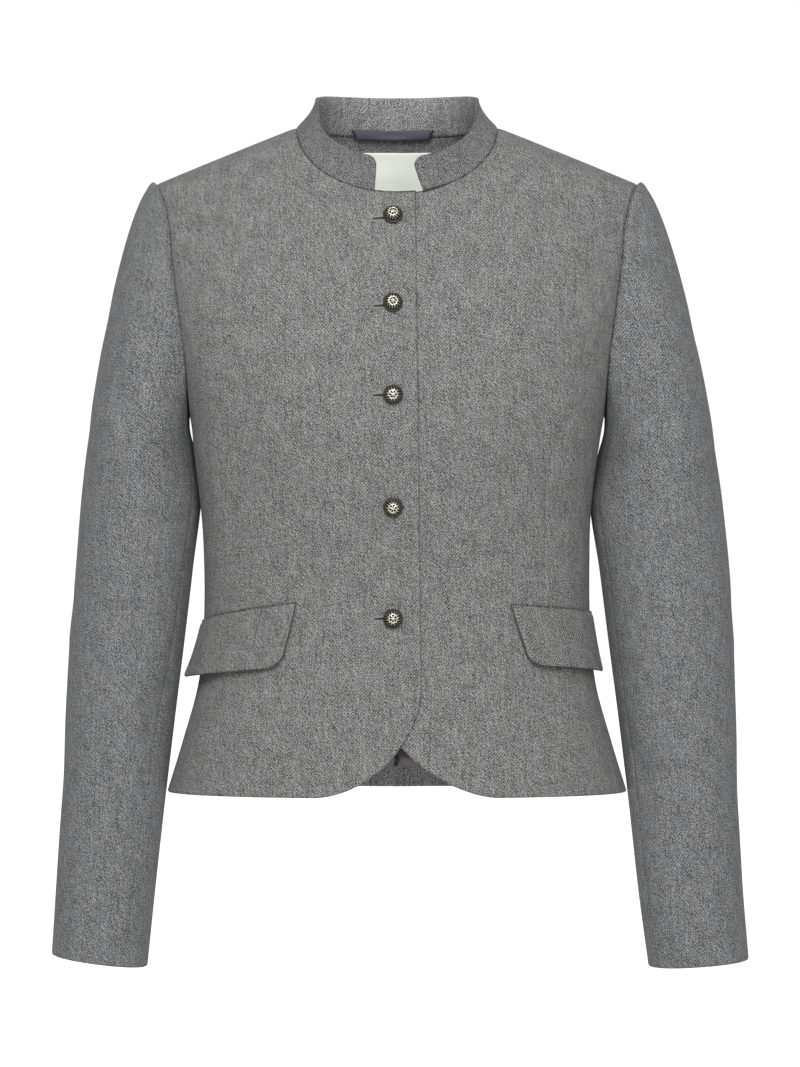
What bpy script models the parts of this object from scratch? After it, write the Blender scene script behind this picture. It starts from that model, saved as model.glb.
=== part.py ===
"""Short stand-collar loden jacket, closed with five domed metal buttons and filled out as if worn.

Every cloth piece is a wall between an outer and an inner grid of points. The torso's points come from
TORSO_ROWS, with a row for each level from the hem to the shoulder line. A sleeve's come from its armhole
and its own table, with a row for each level from the biceps to the cuff. Sizes are in millimetres until
a mesh is made.

X runs to the wearer's left, Y to the back and Z up. The origin is midway between the two points where
the collar meets the shoulder seams, which is where the wearer's shoulders hold the jacket.
"""

import math

import bmesh
import bpy
import numpy as np
from mathutils import Matrix, Vector

MM = 0.001
NO_WIDTH = 1e-6            # in metres, for points on the centre line

# Cloth
WALL = 2.0                 # jacket cloth with its interlining
COLLAR_WALL = 2.6
FLAP_WALL = 2.4
LINING_WALL = 1.0
RIBBON_WALL = 1.0
LABEL_WALL = 1.0
SEAM_GAP = 0.3

# Torso levels. height: on the centre line. droop: fall of the shoulder slope, in mm for each mm of roof().
# half_width, front_depth and back_depth are the section's reach from the middle. squareness is the
# exponent of the superellipse. The row past the shoulder mirrors the one below it, so that front and
# back meet there with no ridge.
TORSO_COLUMNS = ("height", "droop", "half_width", "front_depth", "back_depth", "squareness")
TORSO_ROWS = {
    "hem":        (-525.0, 0.000, 183.5, 111.0, 119.0, 2.30),
    "skirt":      (-484.0, 0.000, 171.0, 105.0, 114.0, 2.30),
    "high_hip":   (-438.0, 0.000, 158.6, 98.5, 106.0, 2.30),
    "flap":       (-392.0, 0.000, 154.6, 94.0, 98.0, 2.25),
    "waist":      (-348.0, 0.000, 153.8, 95.5, 93.0, 2.25),
    "ribs":       (-296.0, 0.000, 154.8, 104.5, 96.0, 2.35),
    "bust":       (-244.0, 0.000, 162.0, 113.5, 102.0, 2.50),
    "armpit":     (-192.0, 0.010, 173.0, 114.5, 106.0, 2.55),
    "chest":      (-140.0, 0.040, 184.5, 107.5, 106.0, 2.50),
    "yoke":       (-88.0, 0.130, 194.0, 92.0, 97.0, 2.40),
    "collarbone": (-38.0, 0.260, 199.5, 69.0, 77.0, 2.50),
    "neck":       (6.0, 0.355, 204.0, 45.0, 52.0, 2.60),
    "slope":      (21.5, 0.402, 206.0, 26.0, 30.0, 2.65),
    "shoulder":   (28.2, 0.415, 207.0, 0.0, 0.0, 2.65),
    "past":       (21.5, 0.402, 206.0, -26.0, -30.0, 2.65),
}
SHOULDER = list(TORSO_ROWS).index("shoulder")
ROOF_ROUND = 30.0          # how far from the centre line the shoulder slope starts

# Cut of the fronts and back
HEM_HEIGHT = -525.0
NECK_HALF_WIDTH = 80.5     # neck point, on the shoulder seam
SHOULDER_HALF_WIDTH = 192.0
FRONT_NECK_DROP = 52.0
FRONT_NECK_SQUARENESS = 2.05
BACK_NECK_HEIGHT = 2.0
LAP_AT_NECK = 14.5         # how far a front runs past the centre
LAP_AT_WAIST = 19.0
CUTAWAY_TOP = -440.0       # where the front edge leaves the straight
CUTAWAYS = {"right": (65.0, 1.84), "left": (79.0, 1.68)}     # where it joins the hem, and its squareness
BACK_HEM_DROP = 3.6        # how much lower the hem is at the centre back
LAP_DIVE = WALL + SEAM_GAP + 0.2   # how far the under front sits below the over front
LAP_DIVE_WIDTH = 34.0      # from the over front's edge, the run in which it comes back up

# Rows of a panel's grid: a front's on its cutaway, edge and neckline, and the outer edge's on the side
# seam, with the rest up the armhole
FRONT_ROWS = (8, 14, 9)
ROWS = sum(FRONT_ROWS)
SIDE_ROWS = 18
BACK_NECK_ROWS = 7

# Armhole in side view, from the shoulder point to the armpit
ARMHOLE_COLUMNS = ("forward", "backward", "height")
ARMHOLE_ROWS = {
    "shoulder_point": (0.0, 0.0, -39.0),
    "cap":            (20.0, 21.0, -46.5),
    "shoulder_bone":  (31.0, 33.0, -62.0),
    "upper":          (43.0, 46.0, -93.0),
    "middle":         (51.0, 54.0, -142.0),
    "lower":          (46.0, 49.0, -188.0),
    "hollow":         (27.0, 29.0, -217.0),
    "armpit":         (0.0, 0.0, -228.0),
}

# Sleeve levels below the armhole; the two hang a little differently. outward, back and height: the
# middle. half_width: side to side. half_depth: front to back. rise: how much the outer side of the ring
# is lifted, in mm for each mm. front_seam: degrees that seam has moved round from the armhole.
SLEEVE_COLUMNS = ("outward", "back", "height", "half_width", "half_depth", "rise", "front_seam")
RIGHT_SLEEVE_ROWS = {
    "biceps":   (206.4, 8.0, -262.0, 43.4, 64.0, 0.00, 0.0),
    "upper":    (206.3, 7.5, -300.0, 47.2, 62.0, 0.02, -1.0),
    "above":    (210.6, 5.0, -350.0, 46.6, 59.5, 0.03, -3.0),
    "elbow":    (215.5, 2.0, -400.0, 45.7, 57.0, 0.05, -6.0),
    "forearm":  (220.7, -3.5, -460.0, 43.7, 53.5, 0.07, -12.0),
    "lower":    (226.2, -10.5, -530.0, 41.1, 49.5, 0.09, -20.0),
    "wrist":    (231.6, -18.0, -598.0, 39.2, 46.0, 0.12, -26.0),
    "cuff":     (236.2, -24.5, -658.0, 37.9, 43.5, 0.13, -29.0),
}
LEFT_SLEEVE_ROWS = {
    "biceps":   (209.8, 8.0, -262.0, 46.8, 66.0, 0.00, 0.0),
    "upper":    (208.9, 7.5, -300.0, 52.4, 64.0, 0.01, 0.0),
    "above":    (214.4, 5.0, -350.0, 51.8, 61.5, 0.02, 0.0),
    "elbow":    (218.8, 2.0, -400.0, 50.0, 59.0, 0.03, 0.0),
    "forearm":  (223.5, -3.5, -460.0, 47.1, 55.0, 0.04, -1.0),
    "lower":    (228.5, -10.5, -530.0, 43.8, 51.0, 0.06, -2.0),
    "wrist":    (233.5, -18.0, -600.0, 41.4, 47.5, 0.07, -3.0),
    "cuff":     (239.6, -24.5, -660.0, 39.7, 45.0, 0.075, -4.0),
}
CUFF = list(RIGHT_SLEEVE_ROWS).index("cuff")
SLEEVE_SQUARENESS = 2.15
SLEEVE_GAP = 0.7           # sleeve head to armhole, sideways
UPPER_COLUMNS = (8, 11)    # columns of the upper piece from the top of the sleeve, to its back and front
UNDER_COLUMNS = 2 * (ROWS - SIDE_ROWS) - sum(UPPER_COLUMNS)
COLUMN_TURN = 180.0 / (ROWS - SIDE_ROWS)   # degrees, so that sleeve head and armhole meet point to point
BACK_SEAM = 360.0 - UPPER_COLUMNS[0] * COLUMN_TURN
CAP_ROWS = 11
ARM_ROWS = 15

# Start of the sleeve head, by degrees round it: direction out, forward and up, and pull as a share of
# the way to the biceps ring.
HEAD_COLUMNS = ("degrees", "outward", "forward", "up", "pull")
HEAD_ROWS = {
    "top":         (0.0, 0.95, 0.00, 0.30, 0.27),
    "front_upper": (45.0, 0.95, 0.20, 0.05, 0.36),
    "front":       (90.0, 0.90, 0.22, -0.45, 0.46),
    "front_lower": (135.0, 0.60, 0.14, -0.80, 0.70),
    "armpit":      (180.0, 0.16, 0.00, -1.00, 0.95),
    "back_lower":  (225.0, 0.60, -0.14, -0.80, 0.70),
    "back":        (270.0, 0.90, -0.22, -0.45, 0.46),
    "back_upper":  (315.0, 0.95, -0.20, 0.05, 0.36),
    "top_again":   (360.0, 0.95, 0.00, 0.30, 0.27),
}

# Soft folds of a sleeve: middle by degrees round and height, half length, half width, slant, depth.
# A positive slant climbs to the front. A negative depth is a ridge.
FOLD_COLUMNS = ("degrees", "height", "half_length", "half_width", "slant", "depth")
SLEEVE_FOLDS = {
    "below_head":   (62.0, -205.0, 55.0, 13.0, 0.90, 1.6),
    "head_ridge":   (48.0, -228.0, 50.0, 11.0, 0.90, -1.0),
    "inner_elbow":  (112.0, -392.0, 40.0, 12.0, -0.45, 2.2),
    "elbow_ridge":  (105.0, -418.0, 42.0, 11.0, -0.40, -1.2),
    "back_elbow":   (262.0, -398.0, 42.0, 13.0, 0.40, 1.8),
    "forearm":      (84.0, -478.0, 46.0, 14.0, -0.55, 1.3),
}

# Collar round the neckline, by half turns from the centre front: slanting height and lean from upright
COLLAR_COLUMNS = ("share", "height", "lean")
COLLAR_ROWS = {
    "front":         (0.00, 28.0, 14.0),
    "front_quarter": (0.25, 29.5, 24.0),
    "side":          (0.50, 28.2, 33.0),
    "back_quarter":  (0.75, 31.0, 21.0),
    "back":          (1.00, 31.3, 9.0),
}
COLLAR_FLARE = 1.80        # over 1, the collar leans in more near its seam than near its top
COLLAR_ENDS = {"right": 17.8, "left": 20.5}     # from the centre front to each end
COLLAR_END_SLANTS = {"right": 0.5, "left": 6.0}  # how far the top of each end leans to the centre
COLLAR_CORNER = 7.5        # radius of its front corners
COLLAR_GAP = 0.45

# Pocket flaps. inner_across, inner_height and outer_height: their seam's two ends. The drops are down
# the two ends, slant how far the lower edge runs towards the side, and the lifts how far it stands off.
FLAP_COLUMNS = ("inner_across", "inner_height", "outer_height", "inner_drop", "outer_drop", "slant",
                "inner_lift", "outer_lift")
FLAP_ROWS = {
    "right": (78.0, -373.9, -389.9, 51.0, 46.0, 7.0, 2.0, 9.6),
    "left":  (88.4, -375.4, -382.6, 47.5, 48.0, 9.5, 2.0, 4.6),
}
FLAP_OUTER_ANGLE = 83.0             # degrees round the torso from the centre front
FLAP_CLEAR = 0.5
FLAP_WIDTH = 95.0
FLAP_CORNERS = (12.0, 3.5)          # inner and outer lower corners

# Buttons on the over front
BUTTON_HEIGHTS = (-71.0, -140.5, -212.0, -299.0, -386.0)
BUTTON_ACROSS = -3.0
BUTTON_DIAMETER = 15.0
BUTTON_PROFILE = (                  # radius and height over the cloth, as shares of the radius
    (0.00, 0.98), (0.26, 0.94), (0.52, 0.82), (0.74, 0.64), (0.90, 0.42),
    (1.00, 0.24), (0.97, 0.13), (0.34, 0.10), (0.30, 0.00), (0.00, 0.00),
)
BUTTON_STEPS = 16

# Hanger loop, label and the strip of lining that shows in the cutaway
LOOP_LENGTH = 68.0
LOOP_WIDTH = 8.0
LOOP_MIDDLE = (-3.5, 3.4)           # across, height
LOOP_TAPER = 4.0
LOOP_STAND_OFF = 2.6
LOOP_SLACK = 1.0
LABEL_SIZE = (72.0, 46.0)
LABEL_TOP = (-2.0, -8.2)            # across, height of its top edge
LABEL_CLEAR = 1.6                   # from the back's inner face
LINING_HEIGHTS = (-510.6, -392.0)
LINING_SIDE_ANGLE = 97.0            # degrees round the torso, where it stops short of the side seam
LINING_CLEAR = 1.4                  # from the back's inner face
LINING_PLEAT = 4.5                  # how far the ease fold over the hem stands in
LINING_PLEAT_HEIGHT = 24.0
LINING_CENTRE_PLEAT = 3.5
LINING_CENTRE_PLEAT_WIDTH = 9.0

CLOTH_GREY = (0.165, 0.165, 0.168)
RIBBON_NAVY = (0.035, 0.035, 0.075)
LABEL_IVORY = (0.72, 0.76, 0.68)
LINING_PLUM = (0.060, 0.048, 0.058)
OLD_SILVER = (0.22, 0.20, 0.17)


# ---------------------------------------------------------------- tables and curves

def columns_of(names, rows):
    """A table as a dictionary of columns, each an array with a number for each row."""
    return dict(zip(names, np.array(list(rows.values()), float).T))


TORSO = columns_of(TORSO_COLUMNS, TORSO_ROWS)
ARMHOLE = columns_of(ARMHOLE_COLUMNS, ARMHOLE_ROWS)
SLEEVES = {"right": columns_of(SLEEVE_COLUMNS, RIGHT_SLEEVE_ROWS),
           "left": columns_of(SLEEVE_COLUMNS, LEFT_SLEEVE_ROWS)}
SIDES = {"right": -1, "left": 1}
HEAD = columns_of(HEAD_COLUMNS, HEAD_ROWS)
COLLAR = columns_of(COLLAR_COLUMNS, COLLAR_ROWS)


def smooth(column, row):
    """The column's value at a fractional row number, on a Catmull-Rom curve through its rows."""
    row = np.asarray(row, float)
    first = np.clip(np.floor(row), 0, len(column) - 2).astype(int)
    f = row - first
    ends = np.concatenate([[2 * column[0] - column[1]], column, [2 * column[-1] - column[-2]]])
    a, b, c, d = (ends[first + k] for k in range(4))
    return b + 0.5 * f * (c - a + f * (2 * a - 5 * b + 4 * c - d + f * (3 * (b - c) + d - a)))


def along(points, share):
    """Points at these shares of the length of a smooth curve through the given points."""
    points = np.asarray(points, float)
    fine = np.linspace(0, len(points) - 1, 40 * len(points))
    line = np.stack([smooth(points[:, k], fine) for k in range(points.shape[1])], axis=-1)
    steps = np.linalg.norm(np.diff(line, axis=0), axis=1)
    run = np.concatenate([[0], np.cumsum(steps)]) / steps.sum()
    return np.stack([np.interp(share, run, line[:, k]) for k in range(line.shape[1])], axis=-1)


def ease(t):
    """0 to 1 with level ends."""
    t = np.clip(t, 0, 1)
    return t * t * (3 - 2 * t)


def solve_level(wanted, height_of, low=-1.0, high=float(SHOULDER)):
    """The torso level at which height_of(level) is the wanted height, by halving."""
    low, high = np.full(np.shape(wanted), low), np.full(np.shape(wanted), high)
    for _ in range(40):
        middle = (low + high) / 2
        below = height_of(middle) < wanted
        low, high = np.where(below, middle, low), np.where(below, high, middle)
    return (low + high) / 2


# ---------------------------------------------------------------- torso surface

def roof(x):
    """Distance from the centre line, rounded over near it."""
    return np.sqrt(x * x + ROOF_ROUND**2) - ROOF_ROUND


def torso_point(angle, level):
    """Outer face of the torso. angle is 0 at the centre front, 90 degrees at the wearer's left side."""
    angle, level = np.broadcast_arrays(np.asarray(angle, float), np.asarray(level, float))
    row = {name: smooth(column, level) for name, column in TORSO.items()}
    power = 2 / row["squareness"]
    s, c = np.sin(angle), np.cos(angle)
    x = row["half_width"] * np.sign(s) * np.abs(s) ** power
    depth = np.where(c > 0, row["front_depth"], row["back_depth"])
    y = -depth * np.sign(c) * np.abs(c) ** power
    return np.stack([x, y, row["height"] - row["droop"] * roof(x)], axis=-1)


def normals_of(surface, u, v, du, dv):
    """Unit normals of surface(u, v), from points a little to each side."""
    across = surface(u + du, v) - surface(u - du, v)
    up = surface(u, v + dv) - surface(u, v - dv)
    normal = np.cross(across, up)
    return normal / np.linalg.norm(normal, axis=-1, keepdims=True)


def torso_skin(angle, level, out):
    """The torso's outer face moved out along its normal by so many millimetres."""
    normal = normals_of(torso_point, angle, level, 2e-3, 2e-3)
    return torso_point(angle, level) + np.asarray(out, float)[..., None] * normal


def level_at(x, z):
    """Torso level of the points at this distance from the centre line and this height."""
    x = np.asarray(x, float)

    def height(level):
        return smooth(TORSO["height"], level) - smooth(TORSO["droop"], level) * roof(x)

    return solve_level(np.asarray(z, float) + 0 * x, height)


def angle_at(x, level, back=False):
    """Angle round the torso of the point at this distance from the centre line."""
    share = np.clip(np.abs(x) / smooth(TORSO["half_width"], level), 0, 1)
    angle = np.sign(x) * np.arcsin(share ** (smooth(TORSO["squareness"], level) / 2))
    return math.pi - angle if back else angle


def place(x, z, back=False):
    """Angle and level of a point given in front view."""
    level = level_at(x, z)
    return np.stack([angle_at(x, level, back), level], axis=-1)


def place_in_side_view(depth, z, back=False):
    """Angle and level of a point on the wearer's left, given by its distance from the side seam line."""
    depth, z = np.asarray(depth, float), np.asarray(z, float)
    reach = TORSO["back_depth" if back else "front_depth"]

    def angle(level):
        share = np.clip(depth / np.maximum(smooth(reach, level), 1e-6), 0, 1)
        return np.arccos(share ** (smooth(TORSO["squareness"], level) / 2))

    def height(level):
        return torso_point(angle(level), level)[..., 2]

    level = solve_level(z, height)
    return np.stack([math.pi - angle(level) if back else angle(level), level], axis=-1)


# ---------------------------------------------------------------- cut of the panels

def shoulder_seam(x, back):
    """Angle and level of the shoulder seam's edge at this half width, half a seam gap off the line."""
    width, power = TORSO["half_width"][SHOULDER], TORSO["squareness"][SHOULDER]
    reach = TORSO["back_depth"][SHOULDER - 1] * (1 - (np.asarray(x) / width) ** power) ** (1 / power)
    level = SHOULDER - SEAM_GAP / 2 / reach
    return np.stack([angle_at(x, level, back), level], axis=-1)


def armhole_edge(share, back):
    """Angle and level down the armhole, from the shoulder point at 0 to the armpit at 1."""
    depth = ARMHOLE["backward" if back else "forward"]
    view = along(np.stack([depth, ARMHOLE["height"]], axis=-1), share)
    found = place_in_side_view(np.maximum(view[..., 0], SEAM_GAP / 2), view[..., 1], back)
    top = shoulder_seam(SHOULDER_HALF_WIDTH, back)
    near = ease(np.asarray(share) / 0.06)[..., None]
    return top * (1 - near) + found * near


def side_edge(share, back):
    """Angle and level up the side seam, from the hem at 0 to the armpit at 1, its rows closer at the hem."""
    stops = (0, FRONT_ROWS[0] / SIDE_ROWS, 1)
    height = np.interp(share, stops, (HEM_HEIGHT, CUTAWAY_TOP, ARMHOLE["height"][-1]))
    return place_in_side_view(np.full(np.shape(height), SEAM_GAP / 2), height, back)


NECK_HEIGHT = float(TORSO["height"][SHOULDER] - TORSO["droop"][SHOULDER] * roof(NECK_HALF_WIDTH))


def front_neckline(turn):
    """Across and height round the front neckline, from the centre at 0 to the neck point at 90 degrees."""
    s, c = np.sin(turn), np.cos(turn)
    power = 2 / FRONT_NECK_SQUARENESS
    return np.stack([NECK_HALF_WIDTH * np.sign(s) * np.abs(s) ** power,
                     NECK_HEIGHT - (NECK_HEIGHT + FRONT_NECK_DROP) * np.abs(c) ** power], axis=-1)


def back_neckline(turn):
    """Across and height round the back neckline, from the centre at 0 to the neck point at 90 degrees."""
    height = NECK_HEIGHT + (BACK_NECK_HEIGHT - NECK_HEIGHT) * np.cos(turn) ** 2
    return np.stack([NECK_HALF_WIDTH * np.sin(turn), height], axis=-1)


LAP_TURN = -math.asin((LAP_AT_NECK / NECK_HALF_WIDTH) ** (FRONT_NECK_SQUARENESS / 2))
LAP_CORNER = float(front_neckline(np.array(LAP_TURN))[1])


def lap_edge(z):
    """How far the front edge runs past the centre at this height."""
    return LAP_AT_NECK + (LAP_AT_WAIST - LAP_AT_NECK) * (LAP_CORNER - z) / (LAP_CORNER - CUTAWAY_TOP)


def cutaway(share, hand):
    """Across and height round the curved lower corner, from the hem at 0 to the straight edge at 1."""
    half_width, squareness = CUTAWAYS[hand]
    turn = np.asarray(share, float) * math.pi / 2
    power = 2 / squareness
    width, drop = half_width + LAP_AT_WAIST, CUTAWAY_TOP - HEM_HEIGHT
    return np.stack([half_width - width * np.sin(turn) ** power,
                     CUTAWAY_TOP - drop * np.abs(np.cos(turn)) ** power], axis=-1)


def neck_point(found, share, start, back):
    """The last of a neckline drawn on to the end of the shoulder seam's edge."""
    near = ease((share - start) / (1 - start))[..., None]
    return found * (1 - near) + shoulder_seam(NECK_HALF_WIDTH, back) * near


def front_inner_edge(share, hand):
    """Angle and level up a front: round the cutaway, up the edge, then round the neckline."""
    share = np.asarray(share, float)
    cut_end, neck_start = FRONT_ROWS[0] / ROWS, 1 - FRONT_ROWS[2] / ROWS
    curve = cutaway(np.clip(share / cut_end, 0, 1), hand)
    height = CUTAWAY_TOP + (LAP_CORNER - CUTAWAY_TOP) * (share - cut_end) / (neck_start - cut_end)
    edge = np.stack([-lap_edge(height), height], axis=-1)
    turn = LAP_TURN + (math.pi / 2 - LAP_TURN) * np.clip((share - neck_start) / (1 - neck_start), 0, 1)
    view = np.where((share < cut_end)[..., None], curve,
                    np.where((share < neck_start)[..., None], edge, front_neckline(turn)))
    return neck_point(place(view[..., 0], view[..., 1]), share, 0.97, False)


def back_inner_edge(share):
    """Angle and level up the centre back, then round the back neckline to the neck point."""
    share = np.asarray(share, float)
    neck_start = 1 - BACK_NECK_ROWS / ROWS
    hem = HEM_HEIGHT - BACK_HEM_DROP
    height = hem + (BACK_NECK_HEIGHT - hem) * np.clip(share / neck_start, 0, 1)
    turn = math.pi / 2 * np.clip((share - neck_start) / (1 - neck_start), 0, 1)
    straight = np.stack([0 * height, height], axis=-1)
    view = np.where((share < neck_start)[..., None], straight, back_neckline(turn))
    return neck_point(place(view[..., 0], view[..., 1], back=True), share, 0.97, True)


def outer_edge(share, back):
    """Angle and level up the side seam, then up the armhole to the shoulder point."""
    share = np.asarray(share, float)
    armpit = SIDE_ROWS / ROWS
    side = side_edge(np.clip(share / armpit, 0, 1), back)
    hole = armhole_edge(1 - np.clip((share - armpit) / (1 - armpit), 0, 1), back)
    return np.where((share < armpit)[..., None], side, hole)


def patch(across, up, inner, outer, bottom, top):
    """A Coons patch between four edges, each a function of its share that gives angle and level."""
    a, u = across[..., None], up[..., None]
    sides = (1 - a) * inner(up) + a * outer(up)
    ends = (1 - u) * bottom(across) + u * top(across)
    corners = ((1 - a) * (1 - u) * inner(0 * up) + a * (1 - u) * outer(0 * up)
               + (1 - a) * u * inner(0 * up + 1) + a * u * outer(0 * up + 1))
    return sides + ends - corners


def panel(across, up, piece):
    """Angle and level of a point of the back's left half, or of a front as if on the left."""
    back = piece == "back"

    def inner(share):
        return back_inner_edge(share) if back else front_inner_edge(share, piece)

    hem_inner = inner(np.array(0.0))
    hem_outer = outer_edge(np.array(0.0), back)

    def bottom(share):
        return hem_inner * (1 - share[..., None]) + hem_outer * share[..., None]

    def top(share):
        x = NECK_HALF_WIDTH + (SHOULDER_HALF_WIDTH - NECK_HALF_WIDTH) * share
        return shoulder_seam(x, back)

    return patch(across, up, inner, lambda share: outer_edge(share, back), bottom, top)


# ---------------------------------------------------------------- points of each piece

def mirrored(points, side):
    """Points worked out for the wearer's left, kept for side 1 or mirrored for side -1."""
    return points * np.array([side, 1.0, 1.0])


def over_front(across, up, depth):
    """The front that laps over, on the wearer's right."""
    spot = panel(across, up, "right")
    return mirrored(torso_skin(spot[..., 0], spot[..., 1], -depth), -1)


def under_front(across, up, depth):
    """The front that lies under the lap, on the wearer's left."""
    spot = panel(across, up, "left")
    point = torso_point(spot[..., 0], spot[..., 1])
    beyond = point[..., 0] - lap_edge(point[..., 2])
    dive = LAP_DIVE * (1 - ease(beyond / LAP_DIVE_WIDTH))
    return torso_skin(spot[..., 0], spot[..., 1], -dive - depth)


def back_half(across, up, depth):
    """The left half of the back, across from the centre back and the neckline."""
    spot = panel(across, up, "back")
    return torso_skin(spot[..., 0], spot[..., 1], -depth)


def armhole_point(degrees):
    """The armhole round the sleeve head: 0 at the shoulder point, 90 in front, 180 at the armpit."""
    turn = np.mod(np.asarray(degrees, float), 360)
    front, back = turn <= 180, turn > 180
    spots = np.where(front[..., None],
                     armhole_edge(np.where(front, turn / 180, 0.5), False),
                     armhole_edge(np.where(back, (360 - turn) / 180, 0.5), True))
    return torso_point(spots[..., 0], spots[..., 1]) + np.array([SLEEVE_GAP, 0, 0])


def sleeve_ring(degrees, row, hand):
    """A point round the sleeve at a fractional row of its table, as if on the wearer's left."""
    at = {name: smooth(column, row) for name, column in SLEEVES[hand].items()}
    turn = np.radians(degrees)
    power = 2 / SLEEVE_SQUARENESS
    c, s = np.cos(turn), np.sin(turn)
    out = at["half_width"] * np.sign(c) * np.abs(c) ** power
    forward = at["half_depth"] * np.sign(s) * np.abs(s) ** power
    return np.stack([at["outward"] + out, at["back"] - forward, at["height"] + at["rise"] * out], axis=-1)


def sleeve_head(degrees, share, hand):
    """A point between the armhole at 0 and the biceps ring at 1, on a curve that leaves both smoothly."""
    start, end = armhole_point(degrees), sleeve_ring(degrees, 0.0, hand)
    way = np.linalg.norm(end - start, axis=-1, keepdims=True)
    knob = np.mod(np.asarray(degrees, float), 360) / 45
    lean = np.stack([smooth(HEAD["outward"], knob), -smooth(HEAD["forward"], knob),
                     smooth(HEAD["up"], knob)], axis=-1)
    lean = lean / np.linalg.norm(lean, axis=-1, keepdims=True)
    leave = lean * way * smooth(HEAD["pull"], knob)[..., None]
    down = sleeve_ring(degrees, 0.05, hand) - sleeve_ring(degrees, -0.05, hand)
    arrive = down / np.linalg.norm(down, axis=-1, keepdims=True) * way
    t = np.asarray(share, float)[..., None]
    return ((1 + 2 * t) * (1 - t) ** 2 * start + t * (1 - t) ** 2 * leave
            + t * t * (3 - 2 * t) * end + t * t * (t - 1) * arrive)


def sleeve_point(degrees, down, hand):
    """The sleeve's outer face: down is -1 at the armhole, 0 at the biceps and CUFF at the cuff."""
    degrees, down = np.broadcast_arrays(np.asarray(degrees, float), np.asarray(down, float))
    head = sleeve_head(degrees, np.clip(down + 1, -0.02, 1), hand)
    arm = sleeve_ring(degrees, np.maximum(down, 0), hand)
    return np.where((down < 0)[..., None], head, arm)


def fold_depth(degrees, point, folds):
    """How far the soft folds press the cloth in at these places."""
    total = 0.0
    for turn, height, half_length, half_width, slant, depth in folds.values():
        apart = np.mod(degrees - turn + 180, 360) - 180
        x, z = np.radians(apart) * 55.0, point[..., 2] - height
        tilt = math.atan(slant)
        length = (x * math.cos(tilt) + z * math.sin(tilt)) / half_length
        width = (z * math.cos(tilt) - x * math.sin(tilt)) / half_width
        total = total + depth * np.exp(-length**2 - width**2)
    return total


def sleeve_part(piece, hand):
    """The upper or under piece of one sleeve, across from one of its two seams to the other."""

    def surface(degrees, down):
        return sleeve_point(degrees, down, hand)

    def points(across, up, depth):
        row = (CAP_ROWS + ARM_ROWS) * (1 - up) - CAP_ROWS
        down = np.where(row > 0, CUFF * row / ARM_ROWS, row / CAP_ROWS)
        front = UPPER_COLUMNS[1] * COLUMN_TURN + smooth(SLEEVES[hand]["front_seam"], np.maximum(down, 0))
        first, last = (BACK_SEAM - 360, front) if piece == "upper" else (front, BACK_SEAM)
        inset = math.degrees(SEAM_GAP / 2 / 45.0)
        degrees = first + inset + (last - first - 2 * inset) * across
        plain = surface(degrees, down)
        normal = normals_of(surface, degrees, down, 0.4, 0.02)
        press = fold_depth(degrees, plain, SLEEVE_FOLDS) * ease((down + 0.8) * 2)
        return mirrored(plain - (press + depth)[..., None] * normal, SIDES[hand])

    return points


def neck_ring(share):
    """The neckline's edge on the wearer's left, by half turns from the centre front."""
    share = np.asarray(share, float)
    turn = math.pi * share
    front = front_neckline(np.minimum(turn, math.pi / 2))
    rear = back_neckline(np.minimum(math.pi - turn, 1.5707))
    ahead = place(front[..., 0], front[..., 1])
    behind = place(rear[..., 0], rear[..., 1], back=True)
    spot = np.where((share < 0.5)[..., None], ahead, behind)
    return torso_point(spot[..., 0], spot[..., 1])


def neck_stops():
    """Shares of the half turn, and the length of the neckline up to each of them."""
    shares = np.linspace(0, 1, 401)
    steps = np.linalg.norm(np.diff(neck_ring(shares), axis=0), axis=1)
    return shares, np.concatenate([[0], np.cumsum(steps)])


NECK_SHARES, NECK_LENGTHS = neck_stops()


def collar_part(across, up, depth):
    """The stand collar: across from its right end round the back to its left end, thick level inward."""
    across = np.interp(across, (0, 0.12, 0.88, 1), (0, 0.035, 0.965, 1))
    left = across > 0.5
    to_back = 1 - np.abs(2 * across - 1)
    end = np.where(left, COLLAR_ENDS["left"], COLLAR_ENDS["right"])
    slant = np.where(left, COLLAR_END_SLANTS["left"], COLLAR_END_SLANTS["right"])
    length = (NECK_LENGTHS[-1] - end) * to_back
    share = np.interp(length + end - slant * up * (1 - to_back) ** 4, NECK_LENGTHS, NECK_SHARES)
    share = np.clip(share, 0.0, 0.995)
    base = neck_ring(share)
    run = neck_ring(share + 0.005) - neck_ring(np.maximum(share - 0.005, 0))
    inward = np.stack([-run[..., 1], run[..., 0], 0 * share], axis=-1)
    inward = inward / np.linalg.norm(inward, axis=-1, keepdims=True)
    height = smooth(COLLAR["height"], share * 4)
    lean = np.radians(smooth(COLLAR["lean"], share * 4))
    near = np.clip(COLLAR_CORNER - length, 0, COLLAR_CORNER)
    height = height - COLLAR_CORNER + np.sqrt(COLLAR_CORNER**2 - near**2)
    rise = COLLAR_GAP + height * np.cos(lean) * up
    into = height * np.sin(lean) * (1 - (1 - up) ** COLLAR_FLARE)
    point = base + inward * (into + depth)[..., None] + np.stack([0 * rise, 0 * rise, rise], axis=-1)
    return point * np.stack([np.where(left, 1.0, -1.0), 1 + 0 * rise, 1 + 0 * rise], axis=-1)


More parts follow.
